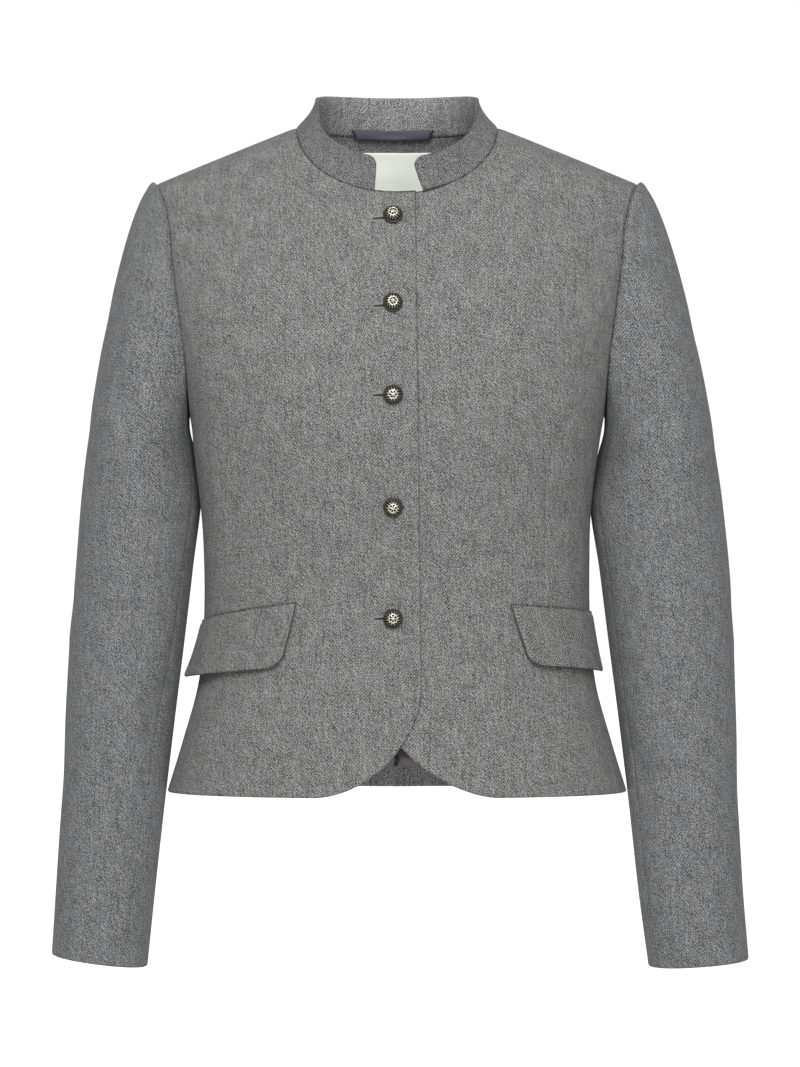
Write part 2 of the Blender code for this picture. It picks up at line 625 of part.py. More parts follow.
def flap_part(hand):
    """A pocket flap: across from its inner end to the side, up from its lower edge to its seam."""
    flap = dict(zip(FLAP_COLUMNS, FLAP_ROWS[hand]))
    inner_angle = place(np.array(flap["inner_across"]), np.array(flap["inner_height"]))[0]
    outer_angle = math.radians(FLAP_OUTER_ANGLE)

    def points(across, up, depth):
        across = np.interp(across, (0, 0.3, 0.85, 1), (0, FLAP_CORNERS[0] / FLAP_WIDTH, 0.96, 1))
        drop = 1 - up
        seam = flap["inner_height"] + (flap["outer_height"] - flap["inner_height"]) * across
        length = flap["inner_drop"] + (flap["outer_drop"] - flap["inner_drop"]) * across
        for end, radius in ((across, FLAP_CORNERS[0]), (1 - across, FLAP_CORNERS[1])):
            near = np.clip(radius - end * FLAP_WIDTH, 0, radius)
            length = length - radius + np.sqrt(radius**2 - near**2)
        angle = inner_angle + (outer_angle - inner_angle) * across + flap["slant"] / 125.0 * drop
        height = seam - length * drop
        lift = flap["inner_lift"] + (flap["outer_lift"] - flap["inner_lift"]) * across**2
        out = SEAM_GAP + FLAP_WALL + FLAP_CLEAR + lift * drop**1.2
        return mirrored(torso_skin(angle, level_at(0 * height, height), out - depth), SIDES[hand])

    return points


def lining_part(across, up, depth):
    """The lower back's lining, with its ease fold over the hem and a pleat at the centre back."""
    side = math.radians(LINING_SIDE_ANGLE)
    angle = side + (2 * math.pi - 2 * side) * (1 - across)
    low, high = LINING_HEIGHTS
    z = low + (high - low) * up
    x = torso_point(angle, level_at(0 * z, z))[..., 0]
    fold = LINING_PLEAT * np.exp(-(((z - low - LINING_PLEAT_HEIGHT / 3) / (LINING_PLEAT_HEIGHT / 2)) ** 2))
    pleat = LINING_CENTRE_PLEAT * np.exp(-((x / LINING_CENTRE_PLEAT_WIDTH) ** 2))
    inside = WALL + LINING_CLEAR + fold + pleat
    return torso_skin(angle, level_at(0 * z, z), -inside - depth)


def loop_part(across, up, depth):
    """The ribbon loop across the inside of the collar seam, its lower edge shorter than its upper."""
    half = LOOP_LENGTH / 2 - LOOP_TAPER * (1 - up)
    x = LOOP_MIDDLE[0] + half * (2 * across - 1)
    z = LOOP_MIDDLE[1] + LOOP_WIDTH * (up - 0.5)
    seam = back_neckline(np.arcsin(np.abs(x) / NECK_HALF_WIDTH))
    spot = place(seam[..., 0], seam[..., 1], back=True)
    y = torso_point(spot[..., 0], spot[..., 1])[..., 1] - COLLAR_WALL - LOOP_STAND_OFF
    return np.stack([x, y - LOOP_SLACK * np.sin(math.pi * across) - depth, z], axis=-1)


def label_part(across, up, depth):
    """The neck label, flat against the inside of the back."""
    x = LABEL_TOP[0] + LABEL_SIZE[0] * (across - 0.5)
    z = LABEL_TOP[1] - LABEL_SIZE[1] * (1 - up)
    spot = place(x, z, back=True)
    return torso_skin(spot[..., 0], spot[..., 1], -WALL - LABEL_CLEAR - depth)


# ---------------------------------------------------------------- meshes

def cloth_material(name, colour, roughness, metallic=0.0):
    """A Principled material of one colour."""
    material = bpy.data.materials.new(name)
    material.use_nodes = True
    shader = material.node_tree.nodes["Principled BSDF"]
    shader.inputs["Base Color"].default_value = (*colour, 1.0)
    shader.inputs["Roughness"].default_value = roughness
    shader.inputs["Metallic"].default_value = metallic
    return material


def add_object(name, mesh, material, collection):
    """Links a mesh to the jacket's collection as one named piece, smooth but for its sharp rims."""
    mesh.materials.append(material)
    mesh.shade_smooth()
    mesh.set_sharp_from_angle(angle=math.radians(50))
    piece = bpy.data.objects.new(name, mesh)
    collection.objects.link(piece)
    return piece


def wall(name, points, columns, rows, thickness, material, collection, half=False):
    """A cloth wall: a grid of outer points, the same grid a thickness deeper, and a rim round both.

    A half wall has no rim on the centre line, and a mirror makes it whole.
    """
    bm = bmesh.new()
    grids = []
    for depth in (0.0, thickness):
        grid = bmesh.ops.create_grid(bm, x_segments=columns, y_segments=rows, size=0.5)["verts"]
        shares = np.array([vertex.co for vertex in grid]) + 0.5
        for vertex, spot in zip(grid, points(shares[:, 0], shares[:, 1], np.full(len(grid), depth))):
            vertex.co = Vector(spot) * MM
        grids.append(grid)
    deeper = dict(zip(*grids))
    for edge in [e for e in bm.edges if e.is_boundary and e.verts[0] in deeper]:
        a, b = edge.verts
        if not (half and abs(a.co.x) < NO_WIDTH and abs(b.co.x) < NO_WIDTH):
            bm.faces.new((a, b, deeper[b], deeper[a]))
    bmesh.ops.recalc_face_normals(bm, faces=bm.faces)
    mesh = bpy.data.meshes.new(name)
    bm.to_mesh(mesh)
    bm.free()
    piece = add_object(name, mesh, material, collection)
    if half:
        mirror = piece.modifiers.new("other half", "MIRROR")
        mirror.use_clip = True
        mirror.merge_threshold = NO_WIDTH
    return piece


def button(name, height, material, collection):
    """A domed button on a short shank, square to the over front at its place."""
    radius = BUTTON_DIAMETER / 2
    mesh = bpy.data.meshes.new(name)
    bm = bmesh.new()
    ring = [bm.verts.new((r * radius * MM, 0, h * radius * MM)) for r, h in BUTTON_PROFILE]
    for a, b in zip(ring, ring[1:]):
        bm.edges.new((a, b))
    bm.to_mesh(mesh)
    bm.free()
    piece = bpy.data.objects.new(name, mesh)
    collection.objects.link(piece)
    screw = piece.modifiers.new("turn", "SCREW")
    screw.steps = screw.render_steps = BUTTON_STEPS
    screw.use_merge_vertices = True
    screw.merge_threshold = 1e-5
    screw.use_smooth_shade = True
    mesh.materials.append(material)
    spot = place(np.array(float(BUTTON_ACROSS)), np.array(float(height)))
    foot = torso_skin(spot[0], spot[1], np.array(SEAM_GAP))
    out = Vector(foot - torso_skin(spot[0], spot[1], np.array(0.0))).normalized()
    turn = out.to_track_quat("Z", "Y").to_matrix().to_4x4()
    piece.matrix_world = Matrix.Translation(Vector(foot) * MM) @ turn
    return piece


def build():
    for old in list(bpy.data.objects):
        bpy.data.objects.remove(old)
    jacket = bpy.data.collections.new("loden_jacket")
    bpy.context.scene.collection.children.link(jacket)

    loden = cloth_material("loden", CLOTH_GREY, 0.95)
    ribbon = cloth_material("ribbon", RIBBON_NAVY, 0.45)
    label = cloth_material("label", LABEL_IVORY, 0.60)
    satin = cloth_material("satin", LINING_PLUM, 0.35)
    silver = cloth_material("old_silver", OLD_SILVER, 0.38, metallic=0.9)

    wall("front_right", over_front, 12, ROWS, WALL, loden, jacket)
    wall("front_left", under_front, 12, ROWS, WALL, loden, jacket)
    wall("back", back_half, 10, ROWS, WALL, loden, jacket, half=True)
    for hand in SIDES:
        for piece, columns in (("upper", sum(UPPER_COLUMNS)), ("under", UNDER_COLUMNS)):
            wall(f"sleeve_{piece}_{hand}", sleeve_part(piece, hand), columns, CAP_ROWS + ARM_ROWS,
                 WALL, loden, jacket)
        wall(f"pocket_flap_{hand}", flap_part(hand), 12, 5, FLAP_WALL, loden, jacket)
    wall("collar", collar_part, 44, 5, COLLAR_WALL, loden, jacket)
    for number, height in enumerate(BUTTON_HEIGHTS, start=1):
        button(f"button_{number}", height, silver, jacket)
    wall("hanger_loop", loop_part, 10, 1, RIBBON_WALL, ribbon, jacket)
    wall("neck_label", label_part, 8, 5, LABEL_WALL, label, jacket)
    wall("back_lining", lining_part, 22, 8, LINING_WALL, satin, jacket)


build()
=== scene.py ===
import math

import bmesh
import bpy
import numpy as np
from bpy.props import FloatProperty, FloatVectorProperty, IntProperty, PointerProperty
from mathutils import Matrix, Vector
from mathutils.kdtree import KDTree


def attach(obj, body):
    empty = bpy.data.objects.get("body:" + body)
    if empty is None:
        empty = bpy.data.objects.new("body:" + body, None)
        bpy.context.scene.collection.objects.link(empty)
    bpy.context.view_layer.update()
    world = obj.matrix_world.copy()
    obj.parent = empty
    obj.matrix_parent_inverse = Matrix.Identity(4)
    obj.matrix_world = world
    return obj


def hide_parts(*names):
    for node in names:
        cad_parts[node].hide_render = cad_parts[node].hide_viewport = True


bl_info = {
    "name": "Tyrolean Loden Jacket",
    "version": (1, 0, 0),
    "blender": (4, 5, 0),
    "location": "3D View > Sidebar > Jacket",
    "description": "Makes the cloth, buttons and trimmings of a short stand-collar wool jacket",
    "category": "Object",
}

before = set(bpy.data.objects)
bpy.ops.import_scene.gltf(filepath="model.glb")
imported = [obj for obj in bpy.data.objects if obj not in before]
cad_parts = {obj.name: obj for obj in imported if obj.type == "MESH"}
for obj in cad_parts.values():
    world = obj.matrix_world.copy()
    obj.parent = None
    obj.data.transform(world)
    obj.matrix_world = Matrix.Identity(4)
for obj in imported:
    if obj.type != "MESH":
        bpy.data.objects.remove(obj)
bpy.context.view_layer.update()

MM = 0.001

# ---------------------------------------------------------------- cut of the jacket, in millimetres
# The same names, tables and surfaces as the solids are made from. X runs to the wearer's left, Y to the
# back and Z up.

WALL = 2.0
COLLAR_WALL = 2.6
FLAP_WALL = 2.4
LINING_WALL = 1.0
RIBBON_WALL = 1.0
LABEL_WALL = 1.0
SEAM_GAP = 0.3

TORSO_COLUMNS = ("height", "droop", "half_width", "front_depth", "back_depth", "squareness")
TORSO_ROWS = {
    "hem":        (-525.0, 0.000, 183.5, 111.0, 119.0, 2.30),
    "skirt":      (-484.0, 0.000, 171.0, 105.0, 114.0, 2.30),
    "high_hip":   (-438.0, 0.000, 158.6, 98.5, 106.0, 2.30),
    "flap":       (-392.0, 0.000, 154.6, 94.0, 98.0, 2.25),
    "waist":      (-348.0, 0.000, 153.8, 95.5, 93.0, 2.25),
    "ribs":       (-296.0, 0.000, 154.8, 104.5, 96.0, 2.35),
    "bust":       (-244.0, 0.000, 162.0, 113.5, 102.0, 2.50),
    "armpit":     (-192.0, 0.010, 173.0, 114.5, 106.0, 2.55),
    "chest":      (-140.0, 0.040, 184.5, 107.5, 106.0, 2.50),
    "yoke":       (-88.0, 0.130, 194.0, 92.0, 97.0, 2.40),
    "collarbone": (-38.0, 0.260, 199.5, 69.0, 77.0, 2.50),
    "neck":       (6.0, 0.355, 204.0, 45.0, 52.0, 2.60),
    "slope":      (21.5, 0.402, 206.0, 26.0, 30.0, 2.65),
    "shoulder":   (28.2, 0.415, 207.0, 0.0, 0.0, 2.65),
    "past":       (21.5, 0.402, 206.0, -26.0, -30.0, 2.65),
}
SHOULDER = list(TORSO_ROWS).index("shoulder")
ROOF_ROUND = 30.0

HEM_HEIGHT = -525.0
NECK_HALF_WIDTH = 80.5
SHOULDER_HALF_WIDTH = 192.0
FRONT_NECK_DROP = 52.0
FRONT_NECK_SQUARENESS = 2.05
BACK_NECK_HEIGHT = 2.0
LAP_AT_NECK = 14.5
LAP_AT_WAIST = 19.0
CUTAWAY_TOP = -440.0
CUTAWAYS = {"right": (65.0, 1.84), "left": (79.0, 1.68)}     # where it joins the hem, and its squareness
BACK_HEM_DROP = 3.6
LAP_DIVE = WALL + SEAM_GAP + 0.2
LAP_DIVE_WIDTH = 34.0

FRONT_ROWS = (8, 14, 9)
ROWS = sum(FRONT_ROWS)
SIDE_ROWS = 18
BACK_NECK_ROWS = 7
CUT_END = FRONT_ROWS[0] / ROWS
NECK_START = 1 - FRONT_ROWS[2] / ROWS
BACK_NECK_START = 1 - BACK_NECK_ROWS / ROWS
ARMPIT = SIDE_ROWS / ROWS

ARMHOLE_COLUMNS = ("forward", "backward", "height")
ARMHOLE_ROWS = {
    "shoulder_point": (0.0, 0.0, -39.0),
    "cap":            (20.0, 21.0, -46.5),
    "shoulder_bone":  (31.0, 33.0, -62.0),
    "upper":          (43.0, 46.0, -93.0),
    "middle":         (51.0, 54.0, -142.0),
    "lower":          (46.0, 49.0, -188.0),
    "hollow":         (27.0, 29.0, -217.0),
    "armpit":         (0.0, 0.0, -228.0),
}

SLEEVE_COLUMNS = ("outward", "back", "height", "half_width", "half_depth", "rise", "front_seam")
RIGHT_SLEEVE_ROWS = {
    "biceps":   (206.4, 8.0, -262.0, 43.4, 64.0, 0.00, 0.0),
    "upper":    (206.3, 7.5, -300.0, 47.2, 62.0, 0.02, -1.0),
    "above":    (210.6, 5.0, -350.0, 46.6, 59.5, 0.03, -3.0),
    "elbow":    (215.5, 2.0, -400.0, 45.7, 57.0, 0.05, -6.0),
    "forearm":  (220.7, -3.5, -460.0, 43.7, 53.5, 0.07, -12.0),
    "lower":    (226.2, -10.5, -530.0, 41.1, 49.5, 0.09, -20.0),
    "wrist":    (231.6, -18.0, -598.0, 39.2, 46.0, 0.12, -26.0),
    "cuff":     (236.2, -24.5, -658.0, 37.9, 43.5, 0.13, -29.0),
}
LEFT_SLEEVE_ROWS = {
    "biceps":   (209.8, 8.0, -262.0, 46.8, 66.0, 0.00, 0.0),
    "upper":    (208.9, 7.5, -300.0, 52.4, 64.0, 0.01, 0.0),
    "above":    (214.4, 5.0, -350.0, 51.8, 61.5, 0.02, 0.0),
    "elbow":    (218.8, 2.0, -400.0, 50.0, 59.0, 0.03, 0.0),
    "forearm":  (223.5, -3.5, -460.0, 47.1, 55.0, 0.04, -1.0),
    "lower":    (228.5, -10.5, -530.0, 43.8, 51.0, 0.06, -2.0),
    "wrist":    (233.5, -18.0, -600.0, 41.4, 47.5, 0.07, -3.0),
    "cuff":     (239.6, -24.5, -660.0, 39.7, 45.0, 0.075, -4.0),
}
CUFF = list(RIGHT_SLEEVE_ROWS).index("cuff")
SLEEVE_SQUARENESS = 2.15
SLEEVE_GAP = 0.3
COLUMN_TURN = 180.0 / (ROWS - SIDE_ROWS)
FRONT_SEAM = 11 * COLUMN_TURN
BACK_SEAM = 360.0 - 8 * COLUMN_TURN
CAP_ROWS = 11
ARM_ROWS = 15
# Where the sleeve rests behind the side of the waist: how far the front swells, how far the sleeve leans in
ARM_REST = {"right": (2.8, 2.7), "left": (0.8, 2.8)}
ARM_GIVE = 3.0              # how far the back gives way there
ARM_SLIP = 14.0             # how far back the inside of the sleeve lies there
HEAD_ROPE = 1.2             # how far the top of the sleeve head stands up beside its seam

HEAD_COLUMNS = ("degrees", "outward", "forward", "up", "pull")
HEAD_ROWS = {
    "top":         (0.0, 0.95, 0.00, 0.30, 0.27),
    "front_upper": (45.0, 0.95, 0.20, 0.05, 0.36),
    "front":       (90.0, 0.90, 0.22, -0.45, 0.46),
    "front_lower": (135.0, 0.60, 0.14, -0.80, 0.70),
    "armpit":      (180.0, 0.16, 0.00, -1.00, 0.95),
    "back_lower":  (225.0, 0.60, -0.14, -0.80, 0.70),
    "back":        (270.0, 0.90, -0.22, -0.45, 0.46),
    "back_upper":  (315.0, 0.95, -0.20, 0.05, 0.36),
    "top_again":   (360.0, 0.95, 0.00, 0.30, 0.27),
}

COLLAR_COLUMNS = ("share", "height", "lean")
COLLAR_ROWS = {
    "front":         (0.00, 28.0, 14.0),
    "front_quarter": (0.25, 29.5, 24.0),
    "side":          (0.50, 28.2, 33.0),
    "back_quarter":  (0.75, 31.0, 21.0),
    "back":          (1.00, 31.3, 9.0),
}
COLLAR_FLARE = 1.80
COLLAR_ENDS = {"right": 17.8, "left": 20.5}
COLLAR_END_SLANTS = {"right": 0.5, "left": 6.0}
COLLAR_CORNER = 7.5
COLLAR_GAP = 0.45

FLAP_COLUMNS = ("inner_across", "inner_height", "outer_height", "inner_drop", "outer_drop", "slant",
                "inner_lift", "outer_lift")
FLAP_ROWS = {
    "right": (78.0, -373.9, -389.9, 51.0, 46.0, 7.0, 2.0, 9.6),
    "left":  (88.4, -375.4, -382.6, 47.5, 48.0, 9.5, 2.0, 4.6),
}
FLAP_OUTER_ANGLE = 83.0
FLAP_CLEAR = 0.5
FLAP_WIDTH = 95.0
FLAP_CORNERS = (12.0, 3.5)

BUTTON_HEIGHTS = (-71.0, -140.5, -212.0, -299.0, -386.0)
BUTTON_ACROSS = -3.0
BUTTON_PROFILE = (
    (0.00, 0.98), (0.26, 0.94), (0.52, 0.82), (0.74, 0.64), (0.90, 0.42),
    (1.00, 0.24), (0.97, 0.13), (0.34, 0.10), (0.30, 0.00), (0.00, 0.00),
)

LOOP_LENGTH = 68.0
LOOP_WIDTH = 8.0
LOOP_MIDDLE = (-3.5, 3.4)
LOOP_TAPER = 4.0
LOOP_STAND_OFF = 2.6
LOOP_SLACK = 1.0
LABEL_SIZE = (72.0, 46.0)
LABEL_TOP = (-2.0, -8.2)
LABEL_CLEAR = 1.6
LINING_HEIGHTS = (-510.6, -392.0)
LINING_SIDE_ANGLE = 97.0
LINING_CLEAR = 1.4
LINING_PLEAT = 4.5
LINING_PLEAT_HEIGHT = 24.0
LINING_CENTRE_PLEAT = 3.5
LINING_CENTRE_PLEAT_WIDTH = 9.0

# Soft creases. facing is the side that a crease is seen from, and across and height its middle as seen
# from there: across is X on the front and back, and Y on the sides. tilt is in degrees and positive
# where the crease rises with across. A negative depth is a ridge.
CREASE_COLUMNS = ("across", "height", "half_length", "half_width", "tilt", "depth")
TORSO_CREASES = {
    "front": {
        "right_waist_dent":   (-120.0, -246.0, 42.0, 15.0, 72.0, 1.9),
        "right_waist_ridge":  (-92.0, -232.0, 40.0, 17.0, 66.0, -0.9),
        "right_side_pull":    (-132.0, -300.0, 34.0, 10.0, 28.0, 1.0),
        "right_chest_full":   (-128.0, -140.0, 40.0, 26.0, 60.0, -1.0),
        "right_bust_pull":    (-52.0, -262.0, 30.0, 9.0, -18.0, 0.7),
        "between_buttons":    (-14.0, -256.0, 22.0, 9.0, -32.0, 0.8),
        "left_waist_dent":    (112.0, -236.0, 40.0, 15.0, -66.0, 1.8),
        "left_waist_ridge":   (88.0, -228.0, 36.0, 16.0, -70.0, -0.8),
        "left_side_pull":     (130.0, -296.0, 32.0, 10.0, -30.0, 1.1),
        "left_chest":         (122.0, -150.0, 36.0, 22.0, -64.0, -0.8),
        "left_collar_break":  (70.0, -92.0, 30.0, 11.0, -48.0, 0.6),
        "right_collar_break": (-66.0, -86.0, 28.0, 11.0, 50.0, 0.5),
        "skirt_right":        (-60.0, -470.0, 40.0, 16.0, 82.0, -0.9),
        "skirt_left":         (70.0, -474.0, 38.0, 15.0, -84.0, -0.8),
        "skirt_right_hollow": (-96.0, -478.0, 36.0, 13.0, 80.0, 0.9),
        "skirt_left_hollow":  (104.0, -470.0, 34.0, 13.0, -80.0, 0.8),
    },
    "back": {
        "left_blade":         (78.0, -176.0, 48.0, 18.0, -68.0, 1.2),
        "left_blade_ridge":   (54.0, -150.0, 44.0, 19.0, -74.0, -0.8),
        "right_blade":        (-84.0, -168.0, 52.0, 17.0, 66.0, 1.3),
        "right_blade_ridge":  (-60.0, -146.0, 40.0, 18.0, 72.0, -0.9),
        "waist_left":         (64.0, -330.0, 36.0, 9.0, 12.0, 1.1),
        "waist_left_ridge":   (60.0, -348.0, 34.0, 9.0, 10.0, -0.7),
        "waist_right":        (-70.0, -338.0, 40.0, 9.0, -14.0, 1.2),
        "waist_right_ridge":  (-66.0, -356.0, 34.0, 9.0, -10.0, -0.7),
        "small_of_back":      (4.0, -318.0, 46.0, 12.0, 2.0, 0.8),
        "skirt_left":         (92.0, -462.0, 46.0, 17.0, -82.0, 1.0),
        "skirt_right":        (-86.0, -468.0, 44.0, 16.0, 84.0, 0.9),
        "under_collar":       (0.0, -26.0, 44.0, 9.0, 0.0, 0.5),
    },
}
SLEEVE_CREASES = {
    "right": {
        "front": {
            "below_head":   (-213.0, -216.0, 32.0, 6.5, -52.0, 2.0),
            "head_ridge":   (-226.0, -238.0, 34.0, 9.0, -56.0, -1.3),
            "biceps":       (-194.0, -292.0, 44.0, 9.5, -84.0, 1.2),
            "press_ridge":  (-229.0, -440.0, 120.0, 10.0, 86.0, -1.0),
            "inner_elbow":  (-192.0, -352.0, 24.0, 7.0, 16.0, 1.3),
            "inner_fold":   (-193.0, -482.0, 70.0, 10.0, 78.0, 2.0),
            "elbow_pull":   (-206.0, -402.0, 32.0, 10.0, -38.0, 1.0),
            "forearm":      (-214.0, -560.0, 38.0, 11.0, -62.0, 0.8),
        },
        "back": {
            "head":         (-210.0, -196.0, 34.0, 9.0, -44.0, 1.4),
            "elbow_high":   (-205.0, -372.0, 30.0, 8.0, 24.0, 1.7),
            "elbow_ridge":  (-208.0, -392.0, 30.0, 8.0, 20.0, -1.1),
            "elbow_low":    (-208.0, -414.0, 32.0, 9.0, -16.0, 1.6),
            "forearm":      (-222.0, -505.0, 46.0, 11.0, -70.0, 1.1),
            "biceps":       (-200.0, -288.0, 40.0, 11.0, 70.0, 1.1),
        },
        "outside": {
            "head":         (16.0, -168.0, 34.0, 12.0, -58.0, 1.2),
            "biceps":       (-22.0, -262.0, 44.0, 13.0, 52.0, 1.2),
            "elbow":        (26.0, -386.0, 30.0, 10.0, -30.0, 1.5),
            "elbow_ridge":  (24.0, -410.0, 30.0, 10.0, -26.0, -1.0),
            "forearm":      (-8.0, -500.0, 46.0, 13.0, 64.0, 1.0),
        },
    },
    "left": {
        "front": {
            "below_head":   (192.0, -216.0, 28.0, 9.0, 58.0, 1.0),
            "biceps":       (203.0, -262.0, 34.0, 9.0, 24.0, 1.0),
            "biceps_ridge": (204.0, -240.0, 32.0, 9.0, 22.0, -0.8),
            "elbow_pull":   (237.0, -314.0, 42.0, 9.0, -76.0, 1.6),
            "outer_ridge":  (254.0, -344.0, 60.0, 9.0, -82.0, -1.1),
            "elbow":        (214.0, -330.0, 26.0, 9.0, 28.0, 0.9),
            "hollow":       (195.0, -510.0, 28.0, 9.5, -80.0, 2.6),
            "over_hollow":  (209.0, -472.0, 24.0, 9.0, 44.0, 1.3),
            "forearm":      (232.0, -590.0, 40.0, 12.0, 66.0, 0.8),
        },
        "back": {
            "head":         (214.0, -204.0, 32.0, 9.0, 42.0, 1.3),
            "elbow_high":   (210.0, -366.0, 32.0, 8.0, -20.0, 1.6),
            "elbow_ridge":  (212.0, -388.0, 32.0, 8.0, -18.0, -1.1),
            "elbow_low":    (214.0, -412.0, 30.0, 9.0, 18.0, 1.7),
            "forearm":      (226.0, -520.0, 48.0, 11.0, 72.0, 1.0),
            "biceps":       (206.0, -296.0, 38.0, 11.0, -66.0, 1.2),
        },
        "outside": {
            "head":         (14.0, -176.0, 36.0, 12.0, -56.0, 1.1),
            "biceps":       (-24.0, -276.0, 42.0, 13.0, 50.0, 1.3),
            "elbow":        (28.0, -392.0, 30.0, 10.0, -34.0, 1.5),
            "elbow_ridge":  (24.0, -416.0, 32.0, 10.0, -28.0, -1.0),
            "forearm":      (-12.0, -518.0, 44.0, 13.0, 66.0, 1.0),
        },
    },
}
# Which axis a crease is placed along, and which way the cloth it is on faces
CREASE_VIEWS = {"front": (0, (0, -1, 0)), "back": (0, (0, 1, 0)), "outside": (1, (1, 0, 0))}

# Waist darts: across and height of the point at the top, then of the lower end. The back's mirror.
DART_COLUMNS = ("top_across", "top_height", "low_across", "low_height")
DARTS = {
    "right": (-96.8, -253.0, -98.4, -377.0),
    "left":  (117.6, -237.0, 116.0, -379.0),
    "back":  (66.0, -216.0, 62.0, -446.0),
}
DART_SHARES = {"right": 0.44, "left": 0.55, "back": 0.24}


# ---------------------------------------------------------------- tables and curves

def columns_of(names, rows):
    """A table as a dictionary of columns, each an array with a number for each row."""
    return dict(zip(names, np.array(list(rows.values()), float).T))


TORSO = columns_of(TORSO_COLUMNS, TORSO_ROWS)
ARMHOLE = columns_of(ARMHOLE_COLUMNS, ARMHOLE_ROWS)
SLEEVES = {"right": columns_of(SLEEVE_COLUMNS, RIGHT_SLEEVE_ROWS),
           "left": columns_of(SLEEVE_COLUMNS, LEFT_SLEEVE_ROWS)}
SIDES = {"right": -1.0, "left": 1.0}
HEAD = columns_of(HEAD_COLUMNS, HEAD_ROWS)
COLLAR = columns_of(COLLAR_COLUMNS, COLLAR_ROWS)


def smooth(column, row):
    """The column's value at a fractional row number, on a Catmull-Rom curve through its rows."""
    row = np.asarray(row, float)
    first = np.clip(np.floor(row), 0, len(column) - 2).astype(int)
    f = row - first
    ends = np.concatenate([[2 * column[0] - column[1]], column, [2 * column[-1] - column[-2]]])
    a, b, c, d = (ends[first + k] for k in range(4))
    return b + 0.5 * f * (c - a + f * (2 * a - 5 * b + 4 * c - d + f * (3 * (b - c) + d - a)))


def along(points, share):
    """Points at these shares of the length of a smooth curve through the given points."""
    points = np.asarray(points, float)
    fine = np.linspace(0, len(points) - 1, 40 * len(points))
    line = np.stack([smooth(points[:, k], fine) for k in range(points.shape[1])], axis=-1)
    steps = np.linalg.norm(np.diff(line, axis=0), axis=1)
    run = np.concatenate([[0], np.cumsum(steps)]) / steps.sum()
    return np.stack([np.interp(share, run, line[:, k]) for k in range(line.shape[1])], axis=-1)


def ease(t):
    """0 to 1 with level ends."""
    t = np.clip(t, 0, 1)
    return t * t * (3 - 2 * t)


def hump(x, half_width):
    """1 in the middle and smoothly down to nothing."""
    return np.exp(-((x / half_width) ** 2))


def solve_level(wanted, height_of, low=-1.0, high=float(SHOULDER)):
    """The torso level at which height_of(level) is the wanted height, by halving."""
    low, high = np.full(np.shape(wanted), low), np.full(np.shape(wanted), high)
    for _ in range(36):
        middle = (low + high) / 2
        below = height_of(middle) < wanted
        low, high = np.where(below, middle, low), np.where(below, high, middle)
    return (low + high) / 2


# ---------------------------------------------------------------- torso surface

def roof(x):
    """Distance from the centre line, rounded over near it."""
    return np.sqrt(x * x + ROOF_ROUND**2) - ROOF_ROUND


def torso_point(angle, level):
    """Outer face of the torso. angle is 0 at the centre front, 90 degrees at the wearer's left side."""
    angle, level = np.broadcast_arrays(np.asarray(angle, float), np.asarray(level, float))
    row = {name: smooth(column, level) for name, column in TORSO.items()}
    power = 2 / row["squareness"]
    s, c = np.sin(angle), np.cos(angle)
    x = row["half_width"] * np.sign(s) * np.abs(s) ** power
    depth = np.where(c > 0, row["front_depth"], row["back_depth"])
    y = -depth * np.sign(c) * np.abs(c) ** power
    return np.stack([x, y, row["height"] - row["droop"] * roof(x)], axis=-1)


def normals_of(surface, u, v, du, dv):
    """Unit normals of surface(u, v), from points a little to each side."""
    across = surface(u + du, v) - surface(u - du, v)
    up = surface(u, v + dv) - surface(u, v - dv)
    normal = np.cross(across, up)
    return normal / np.linalg.norm(normal, axis=-1, keepdims=True)


def creased(points, normals, creases):
    """How far the soft creases press the cloth in at these points."""
    total = np.zeros(points.shape[:-1])
    for view, rows in creases.items():
        axis, facing = CREASE_VIEWS[view]
        facing = np.array(facing, float) * (np.sign(points[..., :1]) if view == "outside" else 1.0)
        weight = ease(np.sum(normals * facing, axis=-1) * 1.6)
        for across, height, half_length, half_width, tilt, depth in rows.values():
            x, z = points[..., axis] - across, points[..., 2] - height
            c, s = math.cos(math.radians(tilt)), math.sin(math.radians(tilt))
            length, width = x * c + z * s, z * c - x * s
            bow = width + 0.10 * length * length / half_length
            total += weight * depth * hump(length, half_length) * hump(bow, half_width)
    return total


def below_armpit(z):
    """0 at the armpit, where sleeve and side are sewn together, and 1 where the arm hangs free of it."""
    return ease((-226.0 - z) / 28.0)


def torso_skin(angle, level, out, side=1.0):
    """The torso moved out along its normal, with its creases, and its normals there. side -1 mirrors it."""
    flip = np.array([side, 1.0, 1.0])
    normal = normals_of(torso_point, angle, level, 2e-3, 2e-3) * flip
    point = torso_point(angle, level) * flip
    press = creased(point, normal, TORSO_CREASES) * settings().crease
    swell = np.where(point[..., 0] < 0, ARM_REST["right"][0], ARM_REST["left"][0])
    push = swell * hump(point[..., 2] + 280, 48) * ease((10 - point[..., 1]) / 16)
    push = push - ARM_GIVE * hump(point[..., 2] + 250, 38) * hump(point[..., 1] - 22, 20)
    push = push * ease((np.abs(point[..., 0]) - 118) / 32) * below_armpit(point[..., 2])
    return point + (np.asarray(out, float) - press + push)[..., None] * normal, normal


def level_at(x, z):
    """Torso level of the points at this distance from the centre line and this height."""
    x = np.asarray(x, float)

    def height(level):
        return smooth(TORSO["height"], level) - smooth(TORSO["droop"], level) * roof(x)

    return solve_level(np.asarray(z, float) + 0 * x, height)


def angle_at(x, level, back=False):
    """Angle round the torso of the point at this distance from the centre line."""
    share = np.clip(np.abs(x) / smooth(TORSO["half_width"], level), 0, 1)
    angle = np.sign(x) * np.arcsin(share ** (smooth(TORSO["squareness"], level) / 2))
    return math.pi - angle if back else angle


